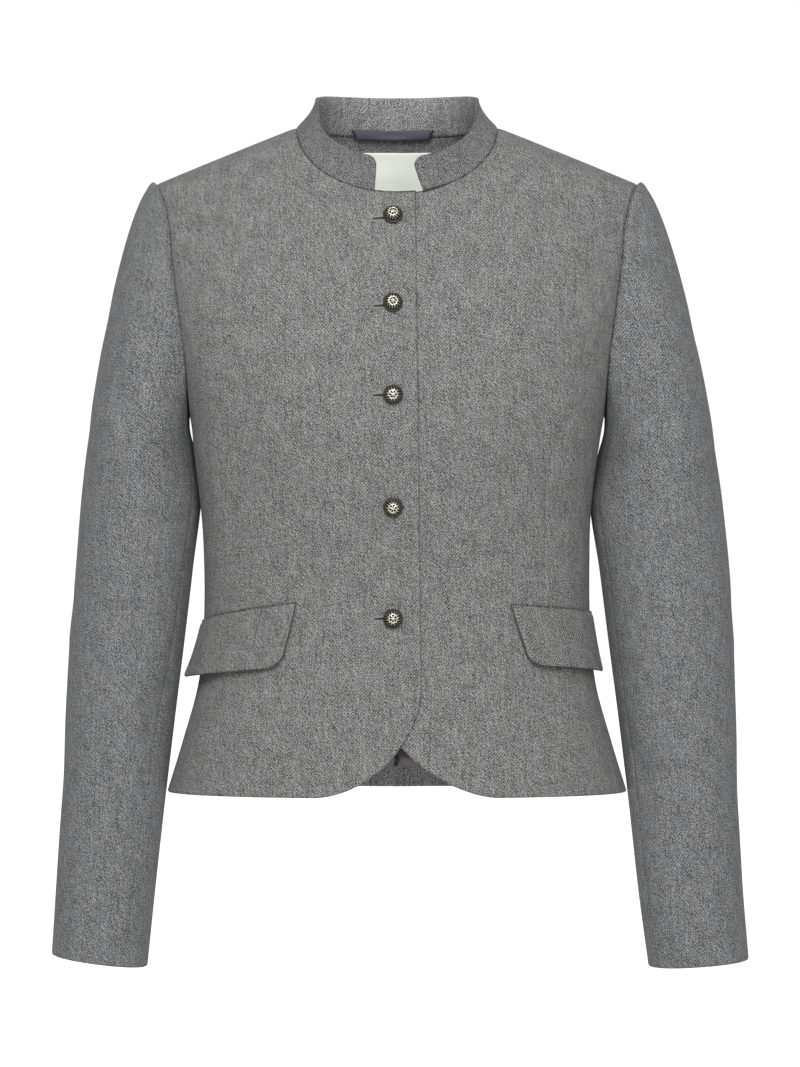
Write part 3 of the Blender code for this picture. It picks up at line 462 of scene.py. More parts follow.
def place(x, z, back=False):
    """Angle and level of a point given in front view."""
    level = level_at(x, z)
    return np.stack([angle_at(x, level, back), level], axis=-1)


def place_in_side_view(depth, z, back=False):
    """Angle and level of a point on the wearer's left, given by its distance from the side seam line."""
    depth, z = np.asarray(depth, float), np.asarray(z, float)
    reach = TORSO["back_depth" if back else "front_depth"]

    def angle(level):
        share = np.clip(depth / np.maximum(smooth(reach, level), 1e-6), 0, 1)
        return np.arccos(share ** (smooth(TORSO["squareness"], level) / 2))

    def height(level):
        return torso_point(angle(level), level)[..., 2]

    level = solve_level(z, height)
    return np.stack([math.pi - angle(level) if back else angle(level), level], axis=-1)


# ---------------------------------------------------------------- cut of the panels

def shoulder_seam(x, back):
    """Angle and level of the shoulder seam's edge at this half width, half a seam gap off the line."""
    width, power = TORSO["half_width"][SHOULDER], TORSO["squareness"][SHOULDER]
    reach = TORSO["back_depth"][SHOULDER - 1] * (1 - (np.asarray(x) / width) ** power) ** (1 / power)
    level = SHOULDER - SEAM_GAP / 2 / reach
    return np.stack([angle_at(x, level, back), level], axis=-1)


def armhole_edge(share, back):
    """Angle and level down the armhole, from the shoulder point at 0 to the armpit at 1."""
    depth = ARMHOLE["backward" if back else "forward"]
    view = along(np.stack([depth, ARMHOLE["height"]], axis=-1), share)
    found = place_in_side_view(np.maximum(view[..., 0], SEAM_GAP / 2), view[..., 1], back)
    top = shoulder_seam(SHOULDER_HALF_WIDTH, back)
    near = ease(np.asarray(share) / 0.06)[..., None]
    return top * (1 - near) + found * near


def side_edge(share, back):
    """Angle and level up the side seam, from the hem at 0 to the armpit at 1."""
    stops = (0, FRONT_ROWS[0] / SIDE_ROWS, 1)
    height = np.interp(share, stops, (HEM_HEIGHT, CUTAWAY_TOP, ARMHOLE["height"][-1]))
    return place_in_side_view(np.full(np.shape(height), SEAM_GAP / 2), height, back)


NECK_HEIGHT = float(TORSO["height"][SHOULDER] - TORSO["droop"][SHOULDER] * roof(NECK_HALF_WIDTH))


def front_neckline(turn):
    """Across and height round the front neckline, from the centre at 0 to the neck point at 90 degrees."""
    s, c = np.sin(turn), np.cos(turn)
    power = 2 / FRONT_NECK_SQUARENESS
    return np.stack([NECK_HALF_WIDTH * np.sign(s) * np.abs(s) ** power,
                     NECK_HEIGHT - (NECK_HEIGHT + FRONT_NECK_DROP) * np.abs(c) ** power], axis=-1)


def back_neckline(turn):
    """Across and height round the back neckline, from the centre at 0 to the neck point at 90 degrees."""
    height = NECK_HEIGHT + (BACK_NECK_HEIGHT - NECK_HEIGHT) * np.cos(turn) ** 2
    return np.stack([NECK_HALF_WIDTH * np.sin(turn), height], axis=-1)


LAP_TURN = -math.asin((LAP_AT_NECK / NECK_HALF_WIDTH) ** (FRONT_NECK_SQUARENESS / 2))
LAP_CORNER = float(front_neckline(np.array(LAP_TURN))[1])


def lap_edge(z):
    """How far the front edge runs past the centre at this height."""
    return LAP_AT_NECK + (LAP_AT_WAIST - LAP_AT_NECK) * (LAP_CORNER - z) / (LAP_CORNER - CUTAWAY_TOP)


def cutaway(share, hand):
    """Across and height round the curved lower corner, from the hem at 0 to the straight edge at 1."""
    half_width, squareness = CUTAWAYS[hand]
    turn = np.asarray(share, float) * math.pi / 2
    power = 2 / squareness
    width, drop = half_width + LAP_AT_WAIST, CUTAWAY_TOP - HEM_HEIGHT
    return np.stack([half_width - width * np.sin(turn) ** power,
                     CUTAWAY_TOP - drop * np.abs(np.cos(turn)) ** power], axis=-1)


def neck_point(found, share, start, back):
    """The last of a neckline drawn on to the end of the shoulder seam's edge."""
    near = ease((share - start) / (1 - start))[..., None]
    return found * (1 - near) + shoulder_seam(NECK_HALF_WIDTH, back) * near


def front_inner_edge(share, hand):
    """Angle and level up a front: round the cutaway, up the edge, then round the neckline."""
    share = np.asarray(share, float)
    curve = cutaway(np.clip(share / CUT_END, 0, 1), hand)
    height = CUTAWAY_TOP + (LAP_CORNER - CUTAWAY_TOP) * (share - CUT_END) / (NECK_START - CUT_END)
    edge = np.stack([-lap_edge(height), height], axis=-1)
    turn = LAP_TURN + (math.pi / 2 - LAP_TURN) * np.clip((share - NECK_START) / (1 - NECK_START), 0, 1)
    view = np.where((share < CUT_END)[..., None], curve,
                    np.where((share < NECK_START)[..., None], edge, front_neckline(turn)))
    return neck_point(place(view[..., 0], view[..., 1]), share, 0.97, False)


def back_inner_edge(share):
    """Angle and level up the centre back, then round the back neckline to the neck point."""
    share = np.asarray(share, float)
    hem = HEM_HEIGHT - BACK_HEM_DROP
    height = hem + (BACK_NECK_HEIGHT - hem) * np.clip(share / BACK_NECK_START, 0, 1)
    turn = math.pi / 2 * np.clip((share - BACK_NECK_START) / (1 - BACK_NECK_START), 0, 1)
    straight = np.stack([0 * height, height], axis=-1)
    view = np.where((share < BACK_NECK_START)[..., None], straight, back_neckline(turn))
    return neck_point(place(view[..., 0], view[..., 1], back=True), share, 0.97, True)


def outer_edge(share, back):
    """Angle and level up the side seam, then up the armhole to the shoulder point."""
    share = np.asarray(share, float)
    side = side_edge(np.clip(share / ARMPIT, 0, 1), back)
    hole = armhole_edge(1 - np.clip((share - ARMPIT) / (1 - ARMPIT), 0, 1), back)
    return np.where((share < ARMPIT)[..., None], side, hole)


def panel(across, up, piece):
    """Angle and level of the points of a half panel's grid: a Coons patch between its four edges.

    across has a row for each line up and a column for each line across.
    """
    back = piece == "back"
    inner = (back_inner_edge(up) if back else front_inner_edge(up, piece))[:, None]
    outer = outer_edge(up, back)[:, None]
    a, u = across[..., None], up[:, None, None]
    bottom = inner[0] * (1 - a) + outer[0] * a
    top = shoulder_seam(NECK_HALF_WIDTH + (SHOULDER_HALF_WIDTH - NECK_HALF_WIDTH) * across, back)
    sides = (1 - a) * inner + a * outer
    ends = (1 - u) * bottom + u * top
    corners = ((1 - a) * (1 - u) * inner[0] + a * (1 - u) * outer[0]
               + (1 - a) * u * inner[-1] + a * u * outer[-1])
    return sides + ends - corners


def follow_dart(across, up, piece):
    """The lines across of a half panel's grid, led over so that one of them runs down its dart."""
    top_x, top_z, low_x, low_z = np.abs(DARTS[piece]) * (1, -1, 1, -1)
    trial = np.linspace(0, 1, 61)
    spot = panel(np.tile(trial, (len(up), 1)), up, piece)
    point = torso_point(spot[..., 0], spot[..., 1])
    beside = point[..., 0] - np.interp(point[..., 2], (low_z, top_z), (low_x, top_x))
    found = np.array([np.interp(0.0, row, trial) for row in beside])
    height = point[:, 30, 2]
    away = ease((height - top_z - 8) / 70) + ease((low_z - 8 - height) / 60)
    share = DART_SHARES[piece]
    found = found * (1 - away) + share * away
    return np.array([np.interp(across, (0, share, 1), (0, place_, 1)) for place_ in found])


def girth(angle, level, start):
    """Length of cloth round the torso from the start angle, and up it from the hem."""
    steps = np.linspace(0, 1, 33)[:, None, None]
    round_ = torso_point(start + (angle - start) * steps, level)
    up = torso_point(angle, level * steps)
    return [np.linalg.norm(np.diff(line, axis=0), axis=-1).sum(axis=0) for line in (round_, up)]


# ---------------------------------------------------------------- the pieces' own surfaces
# Each takes grid lines across and up, and gives the outer face's points and the way out from it, both as
# arrays of rows up by columns across, with the cloth's own lengths across and up.

def front(across, up, hand):
    """A front. The right one laps over; the left one dives under it."""
    side = SIDES[hand]
    spot = panel(follow_dart(across, up, hand), up, hand)
    angle, level = spot[..., 0], spot[..., 1]
    dive = 0.0
    if hand == "left":
        point = torso_point(angle, level)
        beyond = point[..., 0] - lap_edge(point[..., 2])
        dive = LAP_DIVE * (1 - ease(beyond / LAP_DIVE_WIDTH))
    point, normal = torso_skin(angle, level, -dive + 0 * angle, side)
    round_, high = girth(angle, level, 0.0)
    return point, normal, side * np.sign(angle) * round_, high


def back_half(across, up, hand):
    """One half of the back."""
    side = SIDES[hand]
    spot = panel(follow_dart(across, up, "back"), up, "back")
    angle, level = spot[..., 0], spot[..., 1]
    point, normal = torso_skin(angle, level, 0 * angle, side)
    round_, high = girth(angle, level, math.pi)
    return point, normal, -side * round_, high


def armhole_table():
    """The armhole's points at each degree round the sleeve head."""
    turn = np.arange(0.0, 361.0)
    front_half = torso_point(*armhole_edge(np.clip(turn / 180, 0, 1), False).T)
    back_part = torso_point(*armhole_edge(np.clip((360 - turn) / 180, 0, 1), True).T)
    return np.where((turn <= 180)[:, None], front_half, back_part) + np.array([SLEEVE_GAP, 0, 0])


ARMHOLE_TABLE = armhole_table()


def armhole_point(degrees):
    """The armhole round the sleeve head: 0 at the shoulder point, 90 in front, 180 at the armpit."""
    turn = np.mod(degrees, 360)
    return np.stack([np.interp(turn, np.arange(0.0, 361.0), ARMHOLE_TABLE[:, k]) for k in range(3)],
                    axis=-1)


def sleeve_ring(degrees, row, hand):
    """A point round the sleeve at a fractional row of its table, as if on the wearer's left."""
    at = {name: smooth(column, row) for name, column in SLEEVES[hand].items()}
    turn = np.radians(degrees)
    power = 2 / SLEEVE_SQUARENESS
    c, s = np.cos(turn), np.sin(turn)
    out = at["half_width"] * np.sign(c) * np.abs(c) ** power
    forward = at["half_depth"] * np.sign(s) * np.abs(s) ** power
    return np.stack([at["outward"] + out, at["back"] - forward, at["height"] + at["rise"] * out], axis=-1)


def sleeve_head(degrees, share, hand):
    """A point between the armhole at 0 and the biceps ring at 1, on a curve that leaves both smoothly."""
    start, end = armhole_point(degrees), sleeve_ring(degrees, 0.0, hand)
    way = np.linalg.norm(end - start, axis=-1, keepdims=True)
    knob = np.mod(degrees, 360) / 45
    lean = np.stack([smooth(HEAD["outward"], knob), -smooth(HEAD["forward"], knob),
                     smooth(HEAD["up"], knob)], axis=-1)
    lean = lean / np.linalg.norm(lean, axis=-1, keepdims=True)
    leave = lean * way * smooth(HEAD["pull"], knob)[..., None]
    down = sleeve_ring(degrees, 0.05, hand) - sleeve_ring(degrees, -0.05, hand)
    arrive = down / np.linalg.norm(down, axis=-1, keepdims=True) * way
    t = share[..., None]
    return ((1 + 2 * t) * (1 - t) ** 2 * start + t * (1 - t) ** 2 * leave
            + t * t * (3 - 2 * t) * end + t * t * (t - 1) * arrive)


def sleeve_point(degrees, down, hand):
    """The sleeve's outer face: down is -1 at the armhole, 0 at the biceps and CUFF at the cuff."""
    head = sleeve_head(degrees, np.clip(down + 1, -0.02, 1), hand)
    arm = sleeve_ring(degrees, np.maximum(down, 0), hand)
    return np.where((down < 0)[..., None], head, arm)


def sleeve(across, up, piece, hand):
    """The upper or under piece of one sleeve, across from one of its two seams to the other."""
    side = SIDES[hand]

    def surface(degrees, down):
        return sleeve_point(degrees, down, hand)

    a, u = np.meshgrid(across, up)
    row = (CAP_ROWS + ARM_ROWS) * (1 - u) - CAP_ROWS
    down = np.where(row > 0, CUFF * row / ARM_ROWS, row / CAP_ROWS)
    seam = FRONT_SEAM + smooth(SLEEVES[hand]["front_seam"], np.maximum(down, 0))
    first, last = (BACK_SEAM - 360, seam) if piece == "upper" else (seam, BACK_SEAM)
    inset = math.degrees(SEAM_GAP / 2 / 45.0)
    degrees = first + inset + (last - first - 2 * inset) * a
    flip = np.array([side, 1.0, 1.0])
    flat = surface(degrees, down)
    point = flat * flip
    normal = normals_of(surface, degrees, down, 0.4, 0.02) * flip
    press = creased(point, normal, SLEEVE_CREASES[hand]) * ease((down + 0.9) * 3) * settings().crease
    rope = hump(down + 0.962, 0.026) + 0.75 * hump(down + 0.925, 0.040)
    press = press - HEAD_ROPE * rope * ease((np.cos(np.radians(degrees)) + 0.6) / 1.2)
    point = point - press[..., None] * normal
    lean = hump(point[..., 2] + 270, 34) * ease(-np.cos(np.radians(degrees))) * below_armpit(point[..., 2])
    point = point + np.stack([-side * ARM_REST[hand][1] * lean, ARM_SLIP * lean, 0 * lean], axis=-1)
    return point, normal, -side * sleeve_run(flat, degrees, down, hand), point[..., 2]


def sleeve_run(point, degrees, down, hand):
    """The cloth's length round a sleeve from its outer side, measured on the biceps ring."""
    table = SLEEVES[hand]
    row = np.maximum(down, 0)
    middle = smooth(table["outward"], row) - 22.0 * ease((point[..., 2] + 215) / 150) * (down < 0)
    back = smooth(table["back"], row)
    turn = np.arctan2(back - point[..., 1], point[..., 0] - middle)
    turn = turn + 2 * math.pi * np.round((np.radians(degrees) - turn) / (2 * math.pi))
    ring = sleeve_ring(np.arange(-180.0, 361.0, 3.0), 0.0, hand)
    ring_turn = np.unwrap(np.arctan2(table["back"][0] - ring[:, 1], ring[:, 0] - table["outward"][0]))
    ring_turn = ring_turn - ring_turn[60]
    ring_run = np.concatenate([[0], np.cumsum(np.linalg.norm(np.diff(ring, axis=0), axis=1))])
    size = smooth(table["half_width"] + table["half_depth"], row)
    return np.interp(turn, ring_turn, ring_run - ring_run[60]) * size / size.max()


def lengths(point, sign):
    """The cloth's own lengths across and up a grid, measured along its lines from the middle column."""
    across = np.cumsum(np.pad(np.linalg.norm(np.diff(point, axis=1), axis=-1), ((0, 0), (1, 0))), axis=1)
    high = np.cumsum(np.pad(np.linalg.norm(np.diff(point, axis=0), axis=-1), ((1, 0), (0, 0))), axis=0)
    middle = point.shape[1] // 2
    return sign * (across - across[:, middle:middle + 1]), high


def neck_ring(share):
    """The neckline's edge on the wearer's left, by half turns from the centre front."""
    turn = math.pi * share
    ahead = front_neckline(np.minimum(turn, math.pi / 2))
    rear = back_neckline(np.minimum(math.pi - turn, 1.5707))
    spot = np.where((share < 0.5)[..., None], place(ahead[..., 0], ahead[..., 1]),
                    place(rear[..., 0], rear[..., 1], back=True))
    return torso_point(spot[..., 0], spot[..., 1])


NECK_SHARES = np.linspace(0, 1, 401)
NECK_TABLE = neck_ring(NECK_SHARES)
NECK_LENGTHS = np.concatenate([[0], np.cumsum(np.linalg.norm(np.diff(NECK_TABLE, axis=0), axis=1))])


def neck_table(share):
    """Points of the neckline at these shares."""
    return np.stack([np.interp(share, NECK_SHARES, NECK_TABLE[:, k]) for k in range(3)], axis=-1)


def collar(across, up):
    """The stand collar: across from its right end round the back to its left end, thick level inward."""
    across, up = np.meshgrid(np.interp(across, (0, 0.12, 0.88, 1), (0, 0.035, 0.965, 1)), up)
    left = across > 0.5
    to_back = 1 - np.abs(2 * across - 1)
    end = np.where(left, COLLAR_ENDS["left"], COLLAR_ENDS["right"])
    slant = np.where(left, COLLAR_END_SLANTS["left"], COLLAR_END_SLANTS["right"])
    length = (NECK_LENGTHS[-1] - end) * to_back
    share = np.interp(length + end - slant * up * (1 - to_back) ** 4, NECK_LENGTHS, NECK_SHARES)
    share = np.clip(share, 0.0, 1.0)
    base = neck_table(share)
    run = neck_table(np.minimum(share + 0.012, 1)) - neck_table(np.maximum(share - 0.012, 0))
    inward = np.stack([-run[..., 1], run[..., 0], 0 * share], axis=-1)
    inward = inward / np.linalg.norm(inward, axis=-1, keepdims=True)
    height = smooth(COLLAR["height"], share * 4)
    lean = np.radians(smooth(COLLAR["lean"], share * 4))
    near = np.clip(COLLAR_CORNER - length, 0, COLLAR_CORNER)
    height = height - COLLAR_CORNER + np.sqrt(COLLAR_CORNER**2 - near**2)
    rise = COLLAR_GAP + height * np.cos(lean) * up
    into = height * np.sin(lean) * (1 - (1 - up) ** COLLAR_FLARE)
    point = base + inward * into[..., None] + np.stack([0 * rise, 0 * rise, rise], axis=-1)
    flip = np.stack([np.where(left, 1.0, -1.0), 1 + 0 * rise, 1 + 0 * rise], axis=-1)
    run, high = lengths(point * flip, -1.0)
    return point * flip, -inward * flip, np.tile(run[:1], (len(run), 1)), high


def flap(across, up, hand):
    """A pocket flap: across from its inner end to the side, up from its lower edge to its seam."""
    row = dict(zip(FLAP_COLUMNS, FLAP_ROWS[hand]))
    inner_angle = place(np.array(row["inner_across"]), np.array(row["inner_height"]))[0]
    outer_angle = math.radians(FLAP_OUTER_ANGLE)
    across, up = np.meshgrid(np.interp(across, (0, 0.3, 0.85, 1),
                                       (0, FLAP_CORNERS[0] / FLAP_WIDTH, 0.96, 1)), up)
    drop = 1 - up
    seam = row["inner_height"] + (row["outer_height"] - row["inner_height"]) * across
    length = row["inner_drop"] + (row["outer_drop"] - row["inner_drop"]) * across
    for end, radius in ((across, FLAP_CORNERS[0]), (1 - across, FLAP_CORNERS[1])):
        near = np.clip(radius - end * FLAP_WIDTH, 0, radius)
        length = length - radius + np.sqrt(radius**2 - near**2)
    angle = inner_angle + (outer_angle - inner_angle) * across + row["slant"] / 125.0 * drop
    height = seam - length * drop
    lift = row["inner_lift"] + (row["outer_lift"] - row["inner_lift"]) * across**2
    out = SEAM_GAP + FLAP_WALL + FLAP_CLEAR + lift * drop**1.2
    point, normal = torso_skin(angle, level_at(0 * height, height), out, SIDES[hand])
    return (point, normal, *lengths(point, SIDES[hand]))


def lining(across, up):
    """The lower back's lining, with its ease fold over the hem and a pleat at the centre back."""
    a, u = np.meshgrid(across, up)
    side = math.radians(LINING_SIDE_ANGLE)
    angle = side + (2 * math.pi - 2 * side) * (1 - a)
    low, high = LINING_HEIGHTS
    z = low + (high - low) * u
    level = level_at(0 * z, z)
    x = torso_point(angle, level)[..., 0]
    fall = z - low
    fold = LINING_PLEAT * hump(fall - LINING_PLEAT_HEIGHT / 3, LINING_PLEAT_HEIGHT / 2)
    fold = fold * (1 + 0.16 * np.sin(x / 7.3 + 0.6) + 0.10 * np.sin(x / 3.1 + z / 9.0))
    pleat = LINING_CENTRE_PLEAT * hump(x, LINING_CENTRE_PLEAT_WIDTH)
    tuck = -3.0 * hump(x + 2.0 - 0.25 * fall, 1.7) * ease(fall / 4) - 1.8 * hump(x - 8 + 0.8 * fall, 1.8)
    tuck = tuck + 4.0 * hump(x + 9, 5.0) * hump(fall - 9, 5) + 3.4 * hump(x - 8, 4.0) * hump(fall - 7, 5)
    ripple = 0.5 * np.sin(x / 11.0 + 1.3 * np.sin(z / 17.0)) + 0.3 * np.sin(x / 5.2 - z / 13.0)
    inside = WALL + LINING_CLEAR + np.maximum(fold + pleat + tuck + ripple, 0.1)
    flat = torso_point(angle, level)
    normal = normals_of(torso_point, angle, level, 2e-3, 2e-3)
    point = flat - inside[..., None] * normal
    return (point, normal, *lengths(point, 1.0))


def loop(across, up):
    """The ribbon loop across the inside of the collar seam, its lower edge shorter than its upper."""
    a, u = np.meshgrid(across, up)
    half = LOOP_LENGTH / 2 - LOOP_TAPER * (1 - u)
    x = LOOP_MIDDLE[0] + half * (2 * a - 1)
    z = LOOP_MIDDLE[1] + LOOP_WIDTH * (u - 0.5) - 0.35 * np.sin(math.pi * a)
    seam = back_neckline(np.arcsin(np.abs(x) / NECK_HALF_WIDTH))
    spot = place(seam[..., 0], seam[..., 1], back=True)
    y = torso_point(spot[..., 0], spot[..., 1])[..., 1] - COLLAR_WALL - LOOP_STAND_OFF
    slack = LOOP_SLACK * np.sin(math.pi * a) + 0.25 * np.sin(9 * a) * np.sin(math.pi * u)
    tuck = 1.4 * (hump(a, 0.022) + hump(1 - a, 0.022))
    point = np.stack([x, y - slack + tuck, z], axis=-1)
    out = np.zeros_like(point)
    out[..., 1] = 1.0
    return (point, out, *lengths(point, 1.0))


def label(across, up):
    """The neck label, flat against the inside of the back."""
    a, u = np.meshgrid(across, up)
    x = LABEL_TOP[0] + LABEL_SIZE[0] * (a - 0.5)
    z = LABEL_TOP[1] - LABEL_SIZE[1] * (1 - u)
    spot = place(x, z, back=True)
    wave = 0.22 * np.sin(x / 6.0 + 0.8) * np.sin(z / 8.0)
    point, normal = torso_skin(spot[..., 0], spot[..., 1], -WALL - LABEL_CLEAR + wave)
    return (point, normal, *lengths(point, 1.0))


# ---------------------------------------------------------------- meshes

EDGE_STEPS = (0.14, 0.36, 0.70, 1.2, 1.9, 3.0)     # grid lines this far in from an edge, in mm


def grid_lines(length, knots=(0.0, 1.0), spacing=None):
    """Shares for a grid's lines along an edge this long, closer by each knot."""
    spacing = spacing or settings().spacing / MM
    lines = set(knots)
    for low, high in zip(knots, knots[1:]):
        reach = (high - low) * length
        count = max(1, round((reach - 2 * EDGE_STEPS[-1]) / spacing))
        inner = np.linspace(EDGE_STEPS[-1], reach - EDGE_STEPS[-1], count + 1)
        near = np.array(EDGE_STEPS[:-1])
        lines.update(low + np.concatenate([near, inner, reach - near]) / length)
    return np.array(sorted(lines))


def distance_from(points, lines):
    """Distance of each point of a grid from the nearest of these lines of points."""
    dense = []
    for line in lines:
        for a, b in zip(line, line[1:]):
            count = max(1, int(np.linalg.norm(b - a) / 0.25))
            dense.append(a + (b - a) * np.linspace(0, 1, count, endpoint=False)[:, None])
        dense.append(line[-1:])
    if not dense:
        return np.full(points.shape[:-1], 1e3)
    dense = np.concatenate(dense)
    tree = KDTree(len(dense))
    for k, spot in enumerate(dense.tolist()):
        tree.insert(spot, k)
    tree.balance()
    found = [tree.find(spot)[2] for spot in points.reshape(-1, 3).tolist()]
    return np.array(found).reshape(points.shape[:-1])


def edge_lines(point, up, kinds, wanted):
    """The parts of a grid's four edges that are of the wanted kind, as lines of points."""
    edges = {"bottom": point[0], "top": point[-1]}
    lines = [line for name, line in edges.items() if kinds[name] == wanted]
    for name, column in (("inner", point[:, 0]), ("outer", point[:, -1])):
        for low, high, kind in kinds[name]:
            if kind == wanted:
                lines.append(column[(up >= low - 1e-9) & (up <= high + 1e-9)])
    return lines


def turned_roll(distance, wall):
    """How far a turned edge's face has rounded in towards the middle of the cloth."""
    reach = settings().edge_round / MM
    inside = np.clip(1 - distance / reach, 0, 1)
    return wall / 2 * (1 - np.sqrt(np.maximum(1 - inside**2, 0)))


def flat_cut(columns, rows):
    """A flat piece of cloth two layers deep: a grid, its copy beside it and a rim that joins them."""
    bm = bmesh.new()
    bmesh.ops.create_grid(bm, x_segments=columns, y_segments=rows, size=0.5)
    deeper = bmesh.ops.extrude_face_region(bm, geom=bm.faces[:], use_keep_orig=True)["geom"]
    bmesh.ops.translate(bm, vec=(0, 0, 1), verts=[v for v in deeper if isinstance(v, bmesh.types.BMVert)])
    bmesh.ops.recalc_face_normals(bm, faces=bm.faces[:])
    mesh = bpy.data.meshes.new("cut")
    bm.to_mesh(mesh)
    bm.free()
    return mesh


def lapped(point, out, shares, kinds, reach):
    """Points whose outermost lines are drawn on past the piece's seams, into the next piece's."""
    point = point.copy()
    across, up = shares
    sides = {"bottom": (np.s_[0], np.s_[3], across), "top": (np.s_[-1], np.s_[-4], across),
             "inner": (np.s_[:, 0], np.s_[:, 3], up), "outer": (np.s_[:, -1], np.s_[:, -4], up)}
    for name, (edge, inside, share) in sides.items():
        spans = [(0, 1, kinds[name])] if name in ("bottom", "top") else kinds[name]
        on = np.zeros(len(share))
        for low, high, kind in spans:
            if kind == SEAM:
                on[(share >= low - 1e-9) & (share <= high + 1e-9)] = 1.0
        way = np.cross(np.gradient(point[edge], axis=0), out[edge])
        way = way / np.maximum(np.linalg.norm(way, axis=-1, keepdims=True), 1e-9)
        way = way * np.sign(np.sum(way * (point[edge] - point[inside])))
        point[edge] = point[edge] + way * (reach * on)[:, None]
    return point


def sew(name, surface, across, up, wall, kinds, materials, faced=None, seam_dip=0.55, dart=None, faint=0.0,
        lap=1.0, dart_faint=0.42):
    """Shapes a flat cut into one piece of the jacket and gives it its cloth lengths and seam distances.

    The materials are the outside's, the lining's and the facing's. faced(points, distance from the turned
    edges) says where the inside shows its facing. faint makes the painted shade along the seams show less,
    and lap closes them.
    """
    mesh = flat_cut(len(across) - 1, len(up) - 1)
    flat = np.empty(len(mesh.vertices) * 3)
    mesh.vertices.foreach_get("co", flat)
    flat = flat.reshape(-1, 3)
    column = np.rint((flat[:, 0] + 0.5) * (len(across) - 1)).astype(int)
    row = np.rint((flat[:, 1] + 0.5) * (len(up) - 1)).astype(int)
    inner = flat[:, 2] > 0.5

    point, out, run, high = surface(across, up)
    turned = distance_from(point, edge_lines(point, up, kinds, "turned"))
    seam = distance_from(point, edge_lines(point, up, kinds, "seam"))
    roll = turned_roll(turned, wall)
    dip = seam_dip * (hump(seam, 1.7) + 0.3 * hump(seam, 5.0))
    crease = np.full(seam.shape, 1e3)
    if dart:
        top_x, top_z, low_x, low_z = dart
        share = np.clip((point[..., 2] - top_z) / (low_z - top_z), 0, 1)
        beside = np.hypot(point[..., 0] - (top_x + (low_x - top_x) * share),
                          point[..., 2] - (top_z + (low_z - top_z) * share))
        crease = np.minimum(crease, beside + 1.2 * (1 - ease(share * 7)))
        dip = dip + (0.40 * hump(beside, 3.4) + 0.30 * hump(beside, 1.2)) * (0.25 + 0.75 * ease(share * 4))
    depth = np.maximum(roll, np.minimum(dip, wall * 0.6))
    centre = np.abs(point[..., 0]) < 1e-9
    point = lapped(point, out, (across, up), kinds, lap)
    point[..., 0] = np.where(centre, 0.0, point[..., 0])
    face = point - depth[..., None] * out
    behind = point - (wall - roll)[..., None] * out

    spots = np.where(inner[:, None], behind[row, column], face[row, column]) * MM
    mesh.vertices.foreach_set("co", spots.ravel())
    mesh.update()
    bm = bmesh.new()
    bm.from_mesh(mesh)
    if bm.calc_volume(signed=True) < 0:
        bmesh.ops.reverse_faces(bm, faces=bm.faces[:])
    bm.to_mesh(mesh)
    bm.free()

    corners = np.empty(len(mesh.loops), int)
    mesh.loops.foreach_get("vertex_index", corners)
    lay = np.stack([run[row, column], high[row, column]], axis=-1) * MM
    mesh.uv_layers.new(name="cloth").data.foreach_set("uv", lay[corners].ravel())
    # Distance to the nearest seam or dart line, by which the materials paint shade along them; faint and
    # dart_faint weaken that painted shade.
    nearest = np.minimum(seam + faint, crease + dart_faint)
    for title, values in (("seam", nearest), ("turn", turned)):
        mesh.attributes.new(title, "FLOAT", "POINT").data.foreach_set("value", values[row, column])
    for material in materials:
        mesh.materials.append(material)
    if faced is not None:
        lined = inner & ~faced(point, turned)[row, column]
        sides = [(all(inner[v] for v in polygon.vertices), all(lined[v] for v in polygon.vertices))
                 for polygon in mesh.polygons]
        mesh.polygons.foreach_set("material_index", np.array([2 * a - b for a, b in sides], int))
    mesh.shade_smooth()
    mesh.name = name
    piece = bpy.data.objects.new(name, mesh)
    bpy.context.scene.collection.objects.link(piece)
    return piece


def join_halves(name, halves):
    """One piece made of two halves that meet on the centre line, with no rim left between them."""
    bm = bmesh.new()
    for half in halves:
        bm.from_mesh(half.data)
    rim = [face for face in bm.faces if all(abs(vertex.co.x) < 1e-7 for vertex in face.verts)]
    bmesh.ops.delete(bm, geom=rim, context="FACES_ONLY")
    middle = [vertex for vertex in bm.verts if abs(vertex.co.x) < 1e-7]
    bmesh.ops.remove_doubles(bm, verts=middle, dist=1e-7)
    mesh = halves[0].data
    bm.to_mesh(mesh)
    bm.free()
    other = halves[1].data
    bpy.data.objects.remove(halves[1])
    bpy.data.meshes.remove(other)
    mesh.name = halves[0].name = name
    return halves[0]


def dress(piece, node):
    """Hangs a cloth piece on the root body and hides the solid it stands for."""
    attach(piece, "root")
    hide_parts(node)


# ---------------------------------------------------------------- materials

def put(tree, kind, inputs=None, **settings_):
    """A new node with its settings, its plain values and its links, which are given as sockets."""
    node = tree.nodes.new(kind)
    for name, value in settings_.items():
        setattr(node, name, value)
    for name, value in (inputs or {}).items():
        socket = node.inputs[name]
        if isinstance(value, bpy.types.NodeSocket):
            tree.links.new(value, socket)
        else:
            socket.default_value = value
    return node


def calc(tree, operation, *values, clamp=False):
    """A Math node's result."""
    return put(tree, "ShaderNodeMath", dict(enumerate(values)), operation=operation,
               use_clamp=clamp).outputs[0]


def blend(tree, share, a, b, kind="MIX"):
    """Two colours mixed by a share."""
    node = put(tree, "ShaderNodeMix", data_type="RGBA", blend_type=kind)
    for place_, value in ((0, share), (6, a), (7, b)):
        if isinstance(value, bpy.types.NodeSocket):
            tree.links.new(value, node.inputs[place_])
        else:
            node.inputs[place_].default_value = value
    return node.outputs[2]


def new_group(name, inputs, outputs):
    """An empty node group with these named sockets, its input node and its output node."""
    group = bpy.data.node_groups.new(name, "ShaderNodeTree")
    for title, (kind, default) in inputs.items():
        socket = group.interface.new_socket(title, in_out="INPUT", socket_type=kind)
        if default is not None:
            socket.default_value = default
    for title, kind in outputs.items():
        group.interface.new_socket(title, in_out="OUTPUT", socket_type=kind)
    return group, group.nodes.new("NodeGroupInput").outputs, group.nodes.new("NodeGroupOutput").inputs


